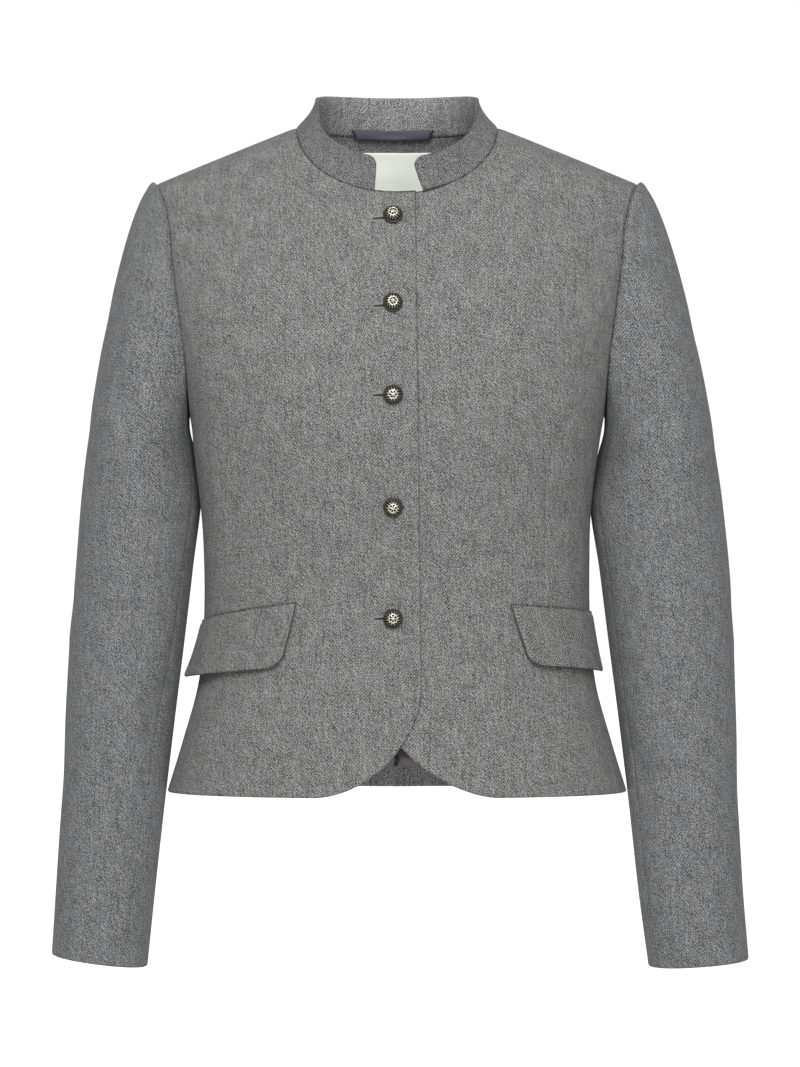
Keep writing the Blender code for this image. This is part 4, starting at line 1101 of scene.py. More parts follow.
def melange_group():
    """Twilled wool spun from light and dark fibres: how light it is, how warm, and how high."""
    group, given, gives = new_group(
        "wool melange",
        {"Lay": ("NodeSocketVector", None), "Twill Pitch": ("NodeSocketFloat", 1.9),
         "Twill": ("NodeSocketFloat", 0.3), "Fibre": ("NodeSocketFloat", 0.5),
         "Mottle": ("NodeSocketFloat", 0.1)},
        {"Shade": "NodeSocketFloat", "Warmth": "NodeSocketFloat", "Height": "NodeSocketFloat"})
    mm = put(group, "ShaderNodeVectorMath", {0: given["Lay"], 1: (1000, 1000, 1000)},
             operation="MULTIPLY").outputs[0]
    rib = put(group, "ShaderNodeVectorRotate", {"Vector": mm, "Angle": math.radians(-47)},
              rotation_type="Z_AXIS").outputs[0]

    def noise(vector, stretch, detail, rough, shift=0.0, scale=1.0):
        placed = put(group, "ShaderNodeMapping", {"Vector": vector, "Location": (shift, shift * 1.7, shift),
                                                  "Scale": (*stretch, 1.0)}).outputs[0]
        return put(group, "ShaderNodeTexNoise", {"Vector": placed, "Scale": scale, "Detail": detail,
                                                 "Roughness": rough}, noise_dimensions="2D").outputs["Fac"]

    wander = noise(mm, (0.35, 0.35), 2, 0.5, 7.0)
    split = put(group, "ShaderNodeSeparateXYZ", {0: rib}).outputs
    phase = calc(group, "DIVIDE", calc(group, "ADD", split[1], calc(group, "MULTIPLY", wander, 1.1)),
                 given["Twill Pitch"])
    wave = calc(group, "SINE", calc(group, "MULTIPLY", phase, 2 * math.pi))
    broken = noise(rib, (0.5, 0.9), 1, 0.5, 3.0)
    wave = calc(group, "MULTIPLY", wave, calc(group, "MULTIPLY_ADD", broken, 1.6, 0.0))
    fibre = calc(group, "SUBTRACT", noise(rib, (0.65, 1.7), 3, 0.75, 11.0), 0.5)
    fleck = calc(group, "SUBTRACT", noise(rib, (1.0, 1.5), 2, 0.75, 31.0), 0.5)
    dark = calc(group, "MULTIPLY",
                calc(group, "GREATER_THAN", noise(rib, (0.55, 0.9), 2, 0.6, 53.0), 0.64), -0.5)
    patch = calc(group, "SUBTRACT", noise(mm, (0.34, 0.20), 2, 0.65, 43.0), 0.5)
    cloud = calc(group, "SUBTRACT", noise(mm, (0.095, 0.06), 3, 0.65, 71.0), 0.5)
    streak = calc(group, "SUBTRACT", noise(mm, (0.45, 0.03), 2, 0.6, 91.0), 0.5)
    cloud = calc(group, "ADD", cloud, calc(group, "MULTIPLY", patch, 1.3))
    fine = calc(group, "ADD", calc(group, "MULTIPLY", fibre, 2.6), calc(group, "MULTIPLY", fleck, 1.6))
    fine = calc(group, "MULTIPLY", calc(group, "ADD", fine, calc(group, "MULTIPLY", dark, 0.5)),
                given["Fibre"])
    shade = calc(group, "ADD", fine, calc(group, "MULTIPLY", wave, given["Twill"]))
    broad = calc(group, "MULTIPLY", calc(group, "ADD", calc(group, "MULTIPLY", cloud, 1.4), streak),
                 given["Mottle"])
    group.links.new(calc(group, "ADD", calc(group, "ADD", shade, broad), 1.0), gives["Shade"])
    warm = noise(mm, (0.09, 0.06), 3, 0.65, 17.0)
    group.links.new(calc(group, "MULTIPLY_ADD", warm, 1.8, -0.4, clamp=True), gives["Warmth"])
    group.links.new(calc(group, "ADD", calc(group, "MULTIPLY", wave, 0.5),
                         calc(group, "MULTIPLY", fine, 0.8)),
                    gives["Height"])
    return group


def weave_group():
    """A plain close weave of two sets of threads: its height, and a slow change of tone."""
    group, given, gives = new_group(
        "close weave",
        {"Lay": ("NodeSocketVector", None), "Warp": ("NodeSocketFloat", 0.5),
         "Weft": ("NodeSocketFloat", 0.5)},
        {"Height": "NodeSocketFloat", "Tone": "NodeSocketFloat"})
    mm = put(group, "ShaderNodeVectorMath", {0: given["Lay"], 1: (1000, 1000, 1000)},
             operation="MULTIPLY").outputs[0]
    split = put(group, "ShaderNodeSeparateXYZ", {0: mm}).outputs
    threads = [calc(group, "SINE",
                    calc(group, "MULTIPLY", calc(group, "DIVIDE", split[k], given[name]), 2 * math.pi))
               for k, name in enumerate(("Warp", "Weft"))]
    group.links.new(calc(group, "MULTIPLY_ADD", calc(group, "MULTIPLY", threads[0], threads[1]), 0.5, 0.5),
                    gives["Height"])
    tone = put(group, "ShaderNodeTexNoise", {"Vector": mm, "Scale": 0.16, "Detail": 3.0, "Roughness": 0.6},
               noise_dimensions="2D").outputs["Fac"]
    group.links.new(tone, gives["Tone"])
    return group


def new_material(name):
    """A material with a Principled shader, and its tree and shader node."""
    material = bpy.data.materials.new(name)
    material.use_nodes = True
    tree = material.node_tree
    return material, tree, tree.nodes["Principled BSDF"]


def colour(value, factor=1.0):
    """A colour property as the four numbers a socket takes."""
    return (*(channel * factor for channel in value), 1.0)


def attribute(tree, name):
    """A piece's own numbers by name."""
    return put(tree, "ShaderNodeAttribute", attribute_name=name).outputs["Fac"]


def loden_material(group, name, factor=1.0, edge=0.62, warmth=0.0):
    """Grey wool melange twill with a short nap, and painted shade along its seams, darts and turned edges.
    """
    look = settings()
    material, tree, shader = new_material(name)
    lay = put(tree, "ShaderNodeUVMap", uv_map="cloth").outputs[0]
    wool = put(tree, "ShaderNodeGroup", node_tree=group)
    tree.links.new(lay, wool.inputs["Lay"])
    for title, value in (("Twill Pitch", look.twill_pitch / MM), ("Twill", look.twill),
                         ("Fibre", look.fibre),
                         ("Mottle", look.mottle)):
        wool.inputs[title].default_value = value
    warm = calc(tree, "ADD", wool.outputs["Warmth"], warmth, clamp=True)
    base = blend(tree, warm, colour(look.cloth_cool, factor), colour(look.cloth_warm, factor))
    shade = calc(tree, "MAXIMUM", wool.outputs["Shade"], 0.12)
    # Painted shade: the cloth darkens towards its seams and darts, where shade falls in their grooves.
    seam = put(tree, "ShaderNodeMapRange",
               {"Value": attribute(tree, "seam"), "From Min": 0.0, "From Max": 0.85,
                                            "To Min": 0.48, "To Max": 1.0},
               interpolation_type="SMOOTHSTEP").outputs[0]
    # Painted shade: darker at a turned edge, where the edge rolls under and shades the cloth beside it;
    # edge sets how dark.
    turned = put(tree, "ShaderNodeMapRange",
                 {"Value": attribute(tree, "turn"), "From Min": 0.1, "From Max": 0.7,
                                              "To Min": edge, "To Max": 1.0}).outputs[0]
    shade = calc(tree, "MULTIPLY", calc(tree, "MULTIPLY", shade, seam), turned)
    tint = put(tree, "ShaderNodeVectorMath", {0: base, "Scale": shade},
               operation="SCALE").outputs[0]
    tree.links.new(tint, shader.inputs["Base Color"])
    groove = put(tree, "ShaderNodeMapRange",
                 {"Value": attribute(tree, "seam"), "From Min": 0.0, "From Max": 0.8},
                 interpolation_type="SMOOTHSTEP").outputs[0]
    height = calc(tree, "ADD", calc(tree, "MULTIPLY", wool.outputs["Height"], 0.5), groove)
    bump = put(tree, "ShaderNodeBump", {"Strength": 0.32, "Distance": 0.00030, "Height": height})
    tree.links.new(bump.outputs[0], shader.inputs["Normal"])
    rough = calc(tree, "MULTIPLY_ADD", wool.outputs["Warmth"], 0.06, 0.88)
    tree.links.new(rough, shader.inputs["Roughness"])
    shader.inputs["Specular IOR Level"].default_value = 0.22
    shader.inputs["Sheen Weight"].default_value = look.nap
    shader.inputs["Sheen Roughness"].default_value = 0.55
    shader.inputs["Sheen Tint"].default_value = (0.82, 0.82, 0.84, 1.0)
    return material


def woven_material(group, name, base, warp, weft, rough, contrast, bump_mm, sheen=0.0, rib_tone=0.12):
    """A smooth woven stuff such as satin or ribbon, with painted shade at its turned edges and along seam
    and fold lines.
    """
    material, tree, shader = new_material(name)
    lay = put(tree, "ShaderNodeUVMap", uv_map="cloth").outputs[0]
    weave = put(tree, "ShaderNodeGroup", node_tree=group)
    tree.links.new(lay, weave.inputs["Lay"])
    weave.inputs["Warp"].default_value = warp
    weave.inputs["Weft"].default_value = weft
    tone = blend(tree, weave.outputs["Tone"], colour(base, 1 - contrast), colour(base, 1 + contrast))
    tone = blend(tree, calc(tree, "MULTIPLY", weave.outputs["Height"], rib_tone), tone, colour(base, 0.35))
    # Painted shade: darker towards a turned edge, where the stuff rolls under.
    edge = put(tree, "ShaderNodeMapRange",
               {"Value": attribute(tree, "turn"), "From Min": 0.1, "From Max": 0.9,
                                            "To Min": 0.35, "To Max": 0.0},
               interpolation_type="SMOOTHSTEP").outputs[0]
    tone = blend(tree, edge, tone, colour(base, 0.45))
    # Painted shade: far darker near the seam lines, which on the lining mark its centre pleat's fold.
    fold = put(tree, "ShaderNodeMapRange",
               {"Value": attribute(tree, "seam"), "From Min": 0.3, "From Max": 2.6,
                                            "To Min": 0.8, "To Max": 0.0},
               interpolation_type="SMOOTHSTEP").outputs[0]
    tree.links.new(blend(tree, fold, tone, colour(base, 0.12)), shader.inputs["Base Color"])
    bump = put(tree, "ShaderNodeBump",
               {"Strength": 0.6, "Distance": bump_mm * MM, "Height": weave.outputs["Height"]})
    tree.links.new(bump.outputs[0], shader.inputs["Normal"])
    tree.links.new(calc(tree, "MULTIPLY_ADD", weave.outputs["Tone"], 0.14, rough - 0.07),
                   shader.inputs["Roughness"])
    shader.inputs["Sheen Weight"].default_value = sheen
    shader.inputs["Specular IOR Level"].default_value = 0.4
    return material


def silver_material():
    """Antique silver: bright where the ornament stands up and almost black in its hollows, with painted
    shade towards the rim.
    """
    look = settings()
    material, tree, shader = new_material("old_silver_relief")
    relief_and_painted_light = attribute(tree, "relief_and_painted_light")
    spots = put(tree, "ShaderNodeTexCoord").outputs["Object"]
    grime = put(tree, "ShaderNodeTexNoise",
                {"Vector": spots, "Scale": 900.0, "Detail": 4.0, "Roughness": 0.65}).outputs[0]
    bright = calc(tree, "ADD", relief_and_painted_light, calc(tree, "MULTIPLY_ADD", grime, 0.5, -0.25), clamp=True)
    ramp = put(tree, "ShaderNodeMapRange", {"Value": bright, "From Min": 0.12, "From Max": 0.95},
               interpolation_type="SMOOTHSTEP").outputs[0]
    tree.links.new(blend(tree, ramp, colour(look.silver_hollow), colour(look.silver)),
                   shader.inputs["Base Color"])
    tree.links.new(calc(tree, "MULTIPLY_ADD", ramp, 0.35, 0.60), shader.inputs["Metallic"])
    tree.links.new(calc(tree, "MULTIPLY_ADD", ramp, -0.32, 0.62), shader.inputs["Roughness"])
    bump = put(tree, "ShaderNodeBump", {"Strength": 0.25, "Distance": 0.00006, "Height": grime})
    tree.links.new(bump.outputs[0], shader.inputs["Normal"])
    return material


def thread_material(name, base):
    """Twisted buttonhole thread, with a painted highlight on top of each stitch and painted shade between
    stitches.
    """
    material, tree, shader = new_material(name)
    spots = put(tree, "ShaderNodeTexCoord").outputs["Object"]
    fuzz = put(tree, "ShaderNodeTexNoise",
               {"Vector": spots, "Scale": 2600.0, "Detail": 3.0, "Roughness": 0.7}).outputs[0]
    shade = calc(tree, "ADD", attribute(tree, "relief_and_painted_light"), calc(tree, "MULTIPLY_ADD", fuzz, 0.8, -0.4),
                 clamp=True)
    tree.links.new(blend(tree, shade, colour(base, 0.30), colour(base, 1.25)), shader.inputs["Base Color"])
    tree.links.new(calc(tree, "MULTIPLY_ADD", fuzz, 0.2, 0.65), shader.inputs["Roughness"])
    bump = put(tree, "ShaderNodeBump", {"Strength": 0.5, "Distance": 0.0001, "Height": fuzz})
    tree.links.new(bump.outputs[0], shader.inputs["Normal"])
    shader.inputs["Sheen Weight"].default_value = 0.2
    return material


def finish_for(name):
    """The jacket's materials by name, made the first time that one is asked for."""
    if name not in bpy.data.materials:
        look = settings()
        wool = bpy.data.node_groups.get("wool melange") or melange_group()
        weave = bpy.data.node_groups.get("close weave") or weave_group()
        makers = {
            # Copies of the one loden: factor paints the sleeves, collar and flaps darker, and paints the
            # facing, seen in shade inside the collar and cutaway, far lighter. This is painted light and
            # shade.
            "loden_cloth": lambda: loden_material(wool, name, warmth=0.12),
            "loden_sleeve_shaded": lambda: loden_material(wool, name, 0.94, warmth=-0.30),
            "loden_collar_shaded": lambda: loden_material(wool, name, 0.80, warmth=-0.10),
            # The flaps' copy paints their turned edges much darker: painted shadow along the edges of the
            # standing flap.
            "loden_flap_shaded": lambda: loden_material(wool, name, 0.95, edge=0.22, warmth=0.20),
            "loden_facing_lit": lambda: loden_material(wool, name, 1.50, warmth=-0.10),
            "lining_satin": lambda: woven_material(weave, name, look.satin, 0.28, 0.34, 0.36, 0.22, 0.03,
                                                   sheen=0.15),
            "navy_ribbon": lambda: woven_material(weave, name, look.ribbon, 0.75, 0.9, 0.50, 0.12, 0.08,
                                                  sheen=0.2, rib_tone=0.3),
            "label_satin": lambda: woven_material(weave, name, look.label, 0.4, 0.5, 0.55, 0.03, 0.04,
                                                  rib_tone=0.05),
            "old_silver_relief": silver_material,
            "buttonhole_thread": lambda: thread_material(name, look.thread),
            "slit_shadow": lambda: thread_material(name, look.slit),
        }
        makers[name]()
    return bpy.data.materials[name]


def lined_cloth(outside="loden_cloth"):
    """The materials of a lined piece: its outside, its lining and its facing."""
    return [finish_for(outside), finish_for("lining_satin"), finish_for("loden_facing_lit")]


# ---------------------------------------------------------------- buttons and buttonholes

def button_seat(height):
    """Where a button sits on the over front, as a matrix whose Z axis stands square to the cloth."""
    spot = place(np.array(float(BUTTON_ACROSS)), np.array(float(height)))
    _, out = torso_skin(spot[0], spot[1], np.array(0.0))
    plain = torso_point(spot[0], spot[1]) + SEAM_GAP * out
    turn = Vector(out).to_track_quat("Z", "Y").to_matrix().to_4x4()
    return Matrix.Translation(Vector(plain) * MM) @ turn


def ring_of(distance, radius, width):
    """A wire ring's height across its width, 0 to 1."""
    return np.clip(1 - ((distance - radius) / width) ** 2, 0, 1) ** 0.5


def filigree(r, a):
    """Height of the ornament over the dome, in mm, and how bright it is, by distance out and turn; the
    brightness has painted shade towards the rim.
    """
    height = np.full(r.shape, -0.30)

    def lay(shape, tall):
        return np.maximum(height, -0.30 + shape * tall)

    def spaced(count, turn=0.0):
        return (np.mod(a / (2 * math.pi) * count + turn, 1) - 0.5) * 2 * math.pi / count

    height = lay(np.clip(1 - (r / 0.80) ** 2, 0, 1) ** 0.5, 0.62)
    spoke = spaced(6, 0.5)
    beside, ahead = r * np.sin(spoke), r * np.cos(spoke)
    height = lay(np.clip(1 - (beside / (0.30 + 0.09 * r)) ** 2, 0, 1) ** 0.5 * (ahead < 3.3), 0.55)
    height = lay(ring_of(r, 3.35, 0.44), 0.56)
    for count, radius, size, turn, tall in ((12, 4.35, 0.66, 0.0, 0.52), (16, 5.55, 0.66, 0.5, 0.50),
                                            (20, 6.60, 0.52, 0.0, 0.42)):
        step = spaced(count, turn)
        apart = np.hypot(r * np.cos(step) - radius, r * np.sin(step))
        height = lay(np.clip(1 - (apart / size) ** 2, 0, 1) ** 0.5, tall)
    height = lay(ring_of(r, 7.15, 0.26), 0.42)
    # Bright on the raised wire and dark with patina in the hollows, then darker towards the rim: painted
    # shade.
    bright = np.clip((height + 0.22) / 0.46, 0, 1) * (1.0 - 0.50 * ease((r - 2.8) / 3.4))
    return height, bright


def make_button(name, height, node):
    """A domed button: a profile spun round, raised into wire loops and beads, and set on the cloth."""
    radius = settings().button / 2 / MM
    profile = np.array(BUTTON_PROFILE) * radius
    dome = along(profile[:6], np.linspace(0, 1, 60))
    under = along(profile[5:], np.linspace(0, 1, 16))[1:]
    bm = bmesh.new()
    line = [bm.verts.new((r, 0, h)) for r, h in np.concatenate([dome, under])]
    edges = [bm.edges.new(pair) for pair in zip(line, line[1:])]
    bmesh.ops.spin(bm, geom=line + edges, cent=(0, 0, 0), axis=(0, 0, 1), angle=2 * math.pi, steps=132,
                   use_merge=True)
    bmesh.ops.remove_doubles(bm, verts=bm.verts[:], dist=1e-4)
    bmesh.ops.recalc_face_normals(bm, faces=bm.faces[:])
    spots = np.array([vertex.co for vertex in bm.verts])
    out = np.array([vertex.normal for vertex in bm.verts])
    r, a = np.hypot(spots[:, 0], spots[:, 1]), np.arctan2(spots[:, 1], spots[:, 0])
    raised, bright = filigree(r * 7.5 / radius, a + height / 37.0)
    # top also paints the dome's rim and underside near-black: painted shade.
    top = ease((spots[:, 2] - 0.24 * radius) / 0.4) * ease((out[:, 2] + 0.1) * 5)
    relief_and_painted_light = bm.verts.layers.float.new("relief_and_painted_light")
    for vertex, lift, patina_and_rim_shade in zip(bm.verts, raised * top * radius / 7.5, bright * top):
        vertex.co += vertex.normal * float(lift)
        vertex[relief_and_painted_light] = float(patina_and_rim_shade)
    mesh = bpy.data.meshes.new(name)
    bm.to_mesh(mesh)
    bm.free()
    mesh.transform(button_seat(height) @ Matrix.Scale(MM, 4))
    mesh.shade_smooth()
    mesh.materials.append(finish_for("old_silver_relief"))
    piece = bpy.data.objects.new(name, mesh)
    bpy.context.scene.collection.objects.link(piece)
    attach(piece, "root")
    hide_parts(node)
    return piece


# Buttonholes: left end, length, drop below the button's middle at the left end and at the right end
BUTTONHOLE_COLUMNS = ("left", "length", "left_drop", "right_drop")
BUTTONHOLE_ROWS = (
    (-20.0, 18.5, 2.9, 1.9), (-19.2, 18.0, 2.7, 1.8), (-19.6, 18.0, 0.6, 0.0), (-9.6, 16.5, 0.3, 0.0),
    (-19.0, 17.5, 0.2, -0.5),
)
STITCH_PITCH = 0.62
HOLE_HALF_HEIGHT = 1.45
THREAD_RADIUS = 0.42
STITCH_REACH = 2.1          # how much longer a stitch is than it is high


def add_stitching(name, bm, material):
    """Makes a piece of a buttonhole from its mesh."""
    bmesh.ops.recalc_face_normals(bm, faces=bm.faces[:])
    mesh = bpy.data.meshes.new(name)
    bm.to_mesh(mesh)
    bm.free()
    mesh.shade_smooth()
    mesh.materials.append(finish_for(material))
    piece = bpy.data.objects.new(name, mesh)
    bpy.context.scene.collection.objects.link(piece)
    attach(piece, "root")
    return piece


def make_buttonhole(number, height):
    """A worked buttonhole: a ring of close stitches round a near-black strip, painted shadow in the slit,
    lying on the over front.
    """
    row = dict(zip(BUTTONHOLE_COLUMNS, BUTTONHOLE_ROWS[number - 1]))
    straight = row["length"] - 2 * HOLE_HALF_HEIGHT
    round_ = 2 * straight + 2 * math.pi * HOLE_HALF_HEIGHT
    turns = round(round_ / STITCH_PITCH)
    bm = bmesh.new()
    bmesh.ops.create_grid(bm, x_segments=turns * 4, y_segments=8, size=0.5)
    shares = np.array([vertex.co[:2] for vertex in bm.verts]) + 0.5
    spin = shares[:, 1] * 2 * math.pi
    x, z, lean = stadium(shares[:, 0] * round_, straight, HOLE_HALF_HEIGHT)
    stitch = np.abs(np.sin(math.pi * shares[:, 0] * turns)) ** 0.5
    fat = THREAD_RADIUS * (0.78 + 0.22 * stitch)
    x = x + fat * np.cos(spin) * np.cos(lean) * STITCH_REACH
    z = z + fat * np.cos(spin) * np.sin(lean) * STITCH_REACH
    relief_and_painted_light = bm.verts.layers.float.new("relief_and_painted_light")
    # Painted light: each stitch is lighter on its outward top, and darker where it dips between stitches.
    for vertex, light in zip(bm.verts, (0.35 + 0.65 * stitch) * (0.55 + 0.45 * np.sin(spin))):
        vertex[relief_and_painted_light] = float(light)
    place_on_front(bm.verts, row, straight, x, z, fat * np.sin(spin) * 0.6 + 0.12, height)
    bmesh.ops.remove_doubles(bm, verts=bm.verts[:], dist=1e-7)
    add_stitching(f"buttonhole_{number}", bm, "buttonhole_thread")

    # The slit: a thin near-black strip laid in the opening as painted shadow.
    bm = bmesh.new()
    bmesh.ops.create_grid(bm, x_segments=24, y_segments=4, size=0.5)
    shares = np.array([vertex.co[:2] for vertex in bm.verts])
    x = (shares[:, 0] + 0.5) * (straight + 0.8) - 0.4
    taper = 0.30 + 0.85 * ease((shares[:, 0] + 0.5) * 1.7)
    relief_and_painted_light = bm.verts.layers.float.new("relief_and_painted_light")
    for vertex in bm.verts:
        vertex[relief_and_painted_light] = 0.4
    place_on_front(bm.verts, row, straight, x, shares[:, 1] * 2 * taper, 0.62 + 0 * x, height)
    rise = bmesh.ops.extrude_face_region(bm, geom=bm.faces[:], use_keep_orig=True)["geom"]
    foot = [vertex for vertex in rise if isinstance(vertex, bmesh.types.BMVert)]
    bmesh.ops.translate(bm, vec=(0, 0.5 * MM, 0), verts=foot)
    add_stitching(f"buttonhole_slit_shadow_{number}", bm, "slit_shadow")


def stadium(run, straight, radius):
    """Points and the way out from them round a long slot, by distance along it."""
    arc = math.pi * radius
    marks = np.array([0, straight, straight + arc, 2 * straight + arc, 2 * (straight + arc)])
    leg = np.clip(np.searchsorted(marks, run, side="right") - 1, 0, 3)
    t = (run - marks[leg]) / np.where(leg % 2 == 0, straight, arc)
    turn = np.choose(leg, [0 * t - math.pi / 2, -math.pi / 2 + math.pi * t, 0 * t + math.pi / 2,
                           math.pi / 2 + math.pi * t])
    x = np.choose(leg, [straight * t, straight + 0 * t, straight * (1 - t), 0 * t]) + radius * np.cos(turn)
    return x, radius * np.sin(turn), turn


def place_on_front(verts, row, straight, x, z, lift, height):
    """Lays flat points on the over front: x along the buttonhole, z up from it and lift off the cloth."""
    drop = row["left_drop"] + (row["right_drop"] - row["left_drop"]) * x / max(straight, 1)
    across, high = row["left"] + HOLE_HALF_HEIGHT + x, height - drop + z
    spot = place(-across, high)
    point, _ = torso_skin(spot[..., 0], spot[..., 1], lift, -1.0)
    for vertex, co in zip(verts, point):
        vertex.co = Vector(co) * MM


# ---------------------------------------------------------------- settings

def settings():
    """The scene's jacket settings."""
    return bpy.context.scene.jacket


class JacketSettings(bpy.types.PropertyGroup):
    """Sizes and colours of the jacket."""

    spacing: FloatProperty(name="Grid spacing",
                           description="Distance between the lines of the cloth's mesh",
                           default=0.0032, min=0.0015, max=0.02, subtype="DISTANCE", unit="LENGTH")
    edge_round: FloatProperty(name="Edge rounding",
                              description="How far in from a turned edge the cloth rounds over",
                              default=0.0017, min=0.0005, max=0.005, subtype="DISTANCE", unit="LENGTH")
    crease: FloatProperty(name="Creases", description="Strength of the soft creases", default=1.0,
                          min=0.0, max=2.0,
                          subtype="FACTOR")
    button: FloatProperty(name="Button width", description="Diameter of a button", default=0.015,
                          min=0.01, max=0.03,
                          subtype="DISTANCE", unit="LENGTH")
    twill_pitch: FloatProperty(name="Twill pitch", description="Distance between the cloth's diagonal ribs",
                               default=0.0019, min=0.0005, max=0.01, subtype="DISTANCE", unit="LENGTH")
    twill: FloatProperty(name="Twill", description="How strongly the ribs show", default=0.40, min=0.0,
                         max=1.0)
    fibre: FloatProperty(name="Fibres", description="Contrast of the light and dark fibres", default=2.55,
                         min=0.0,
                         max=4.0)
    mottle: FloatProperty(name="Mottle", description="Slow change of tone over the cloth", default=0.60,
                          min=0.0,
                          max=2.0)
    nap: FloatProperty(name="Nap", description="Sheen of the cloth's raised fibres", default=0.10,
                       min=0.0, max=1.0,
                       subtype="FACTOR")
    cloth_cool: FloatVectorProperty(name="Cool grey", description="The cloth where it is bluish", size=3,
                                    subtype="COLOR", default=(0.127, 0.1295, 0.1340), min=0.0, max=1.0)
    cloth_warm: FloatVectorProperty(name="Warm grey", description="The cloth where it is brownish", size=3,
                                    subtype="COLOR", default=(0.134, 0.1320, 0.1240), min=0.0, max=1.0)
    satin: FloatVectorProperty(name="Lining", description="Lining satin", size=3, subtype="COLOR",
                               default=(0.125, 0.110, 0.114), min=0.0, max=1.0)
    ribbon: FloatVectorProperty(name="Ribbon", description="Ribbon of the hanger loop", size=3,
                                subtype="COLOR",
                                default=(0.026, 0.0245, 0.043), min=0.0, max=1.0)
    # Painted light: the label's colour is raised near white, above its own ivory, to light it where it sits
    # in shade inside the neck.
    label: FloatVectorProperty(name="Label", description="Bare woven neck label", size=3, subtype="COLOR",
                               default=(0.97, 1.0, 0.90), min=0.0, max=1.0)
    thread: FloatVectorProperty(name="Thread", description="Buttonhole thread", size=3, subtype="COLOR",
                                default=(0.150, 0.150, 0.146), min=0.0, max=1.0)
    # Painted shadow: the colour of the near-black strip laid in each buttonhole's slit.
    slit: FloatVectorProperty(name="Slit", description="Inside of a buttonhole's slit", size=3,
                              subtype="COLOR",
                              default=(0.006, 0.006, 0.006), min=0.0, max=1.0)
    silver: FloatVectorProperty(name="Silver", description="Raised parts of the buttons", size=3,
                                subtype="COLOR",
                                default=(0.66, 0.62, 0.53), min=0.0, max=1.0)
    silver_hollow: FloatVectorProperty(name="Silver hollows", description="Darkened parts of the buttons",
                                       size=3,
                                       subtype="COLOR", default=(0.014, 0.012, 0.009), min=0.0, max=1.0)


class StudioSettings(bpy.types.PropertyGroup):
    """Light and camera round the jacket."""

    sky: FloatProperty(name="Sky", description="Strength of the even light all round", default=0.42,
                       min=0.0, max=5.0)
    key: FloatProperty(name="Key light", description="Power of the soft light in front", default=68.0,
                       min=0.0,
                       max=500.0, unit="POWER")
    floor_drop: FloatProperty(name="Floor", description="How far the floor is below the origin",
                              default=1.05,
                              min=0.68, max=3.0, subtype="DISTANCE", unit="LENGTH")
    lens: FloatProperty(name="Lens", description="Focal length of the camera in millimetres", default=150.0,
                        min=20.0, max=300.0)
    reach: FloatProperty(name="Camera distance", description="From the camera to the jacket's middle plane",
                         default=3.557, min=0.5, max=20.0, subtype="DISTANCE", unit="LENGTH")
    across: FloatProperty(name="Camera across", description="The camera's X", default=0.0024,
                          subtype="DISTANCE",
                          unit="LENGTH")
    height: FloatProperty(name="Camera height", description="The camera's Z", default=-0.3196,
                          subtype="DISTANCE",
                          unit="LENGTH")


# ---------------------------------------------------------------- operators

SEAM, TURNED = "seam", "turned"


class JACKET_OT_fronts(bpy.types.Operator):
    """Makes the two fronts, the right lapping over the left"""

    bl_idname = "jacket.fronts"
    bl_label = "Fronts"

    def execute(self, context):
        up = grid_lines(600.0, (0.0, CUT_END, NECK_START, 1.0))
        kinds = {"bottom": TURNED, "top": SEAM, "outer": [(0, 1, SEAM)],
                 "inner": [(0, NECK_START, TURNED), (NECK_START, 1, SEAM)]}
        for hand in SIDES:
            name = f"front_{hand}"
            across = grid_lines(172.0, (0.0, DART_SHARES[hand], 1.0))

            def faced(point, turned):
                return (turned < 62) | (point[..., 2] > -78)

            piece = sew(f"cloth_{name}", lambda a, u: front(a, u, hand), across, up, WALL, kinds,
                        lined_cloth(), faced, dart=DARTS[hand])
            dress(piece, name)
        return {"FINISHED"}


class JACKET_OT_back(bpy.types.Operator):
    """Makes the back in one piece with two waist darts"""

    bl_idname = "jacket.back"
    bl_label = "Back"

    def execute(self, context):
        across = grid_lines(165.0, (0.0, DART_SHARES["back"], 1.0))
        up = grid_lines(590.0, (0.0, BACK_NECK_START, 1.0))
        kinds = {"bottom": TURNED, "top": SEAM, "outer": [(0, 1, SEAM)],
                 "inner": [(BACK_NECK_START, 1, SEAM)]}

        def faced(point, turned):
            return (turned < 26) | (point[..., 2] > -78)

        halves = []
        for hand, side in SIDES.items():
            top_x, top_z, low_x, low_z = DARTS["back"]
            halves.append(sew(f"half_{hand}", lambda a, u: back_half(a, u, hand), across, up, WALL, kinds,
                              lined_cloth(), faced,
                              dart=(side * top_x, top_z, side * low_x, low_z)))
        piece = join_halves("cloth_back", halves)
        dress(piece, "back")
        return {"FINISHED"}


class JACKET_OT_sleeves(bpy.types.Operator):
    """Makes the upper and under pieces of both sleeves"""

    bl_idname = "jacket.sleeves"
    bl_label = "Sleeves"

    def execute(self, context):
        up = grid_lines(640.0, (0.0, 1.0))
        kinds = {"bottom": TURNED, "top": SEAM, "outer": [(0, 1, SEAM)], "inner": [(0, 1, SEAM)]}

        def faced(point, turned):
            return turned < 32

        girths = {"upper": 215.0, "under": 110.0}
        for hand in SIDES:
            for part, girth_ in girths.items():
                name = f"sleeve_{part}_{hand}"
                # faint weakens the painted shade along this sleeve's seams, more on the right sleeve than
                # the left.
                piece = sew(f"cloth_{name}", lambda a, u: sleeve(a, u, part, hand), grid_lines(girth_),
                            up, WALL,
                            kinds, lined_cloth("loden_sleeve_shaded"), faced,
                            seam_dip=0.4, faint={"right": 0.35, "left": 0.12}[hand], lap=1.0)
                dress(piece, name)
        return {"FINISHED"}


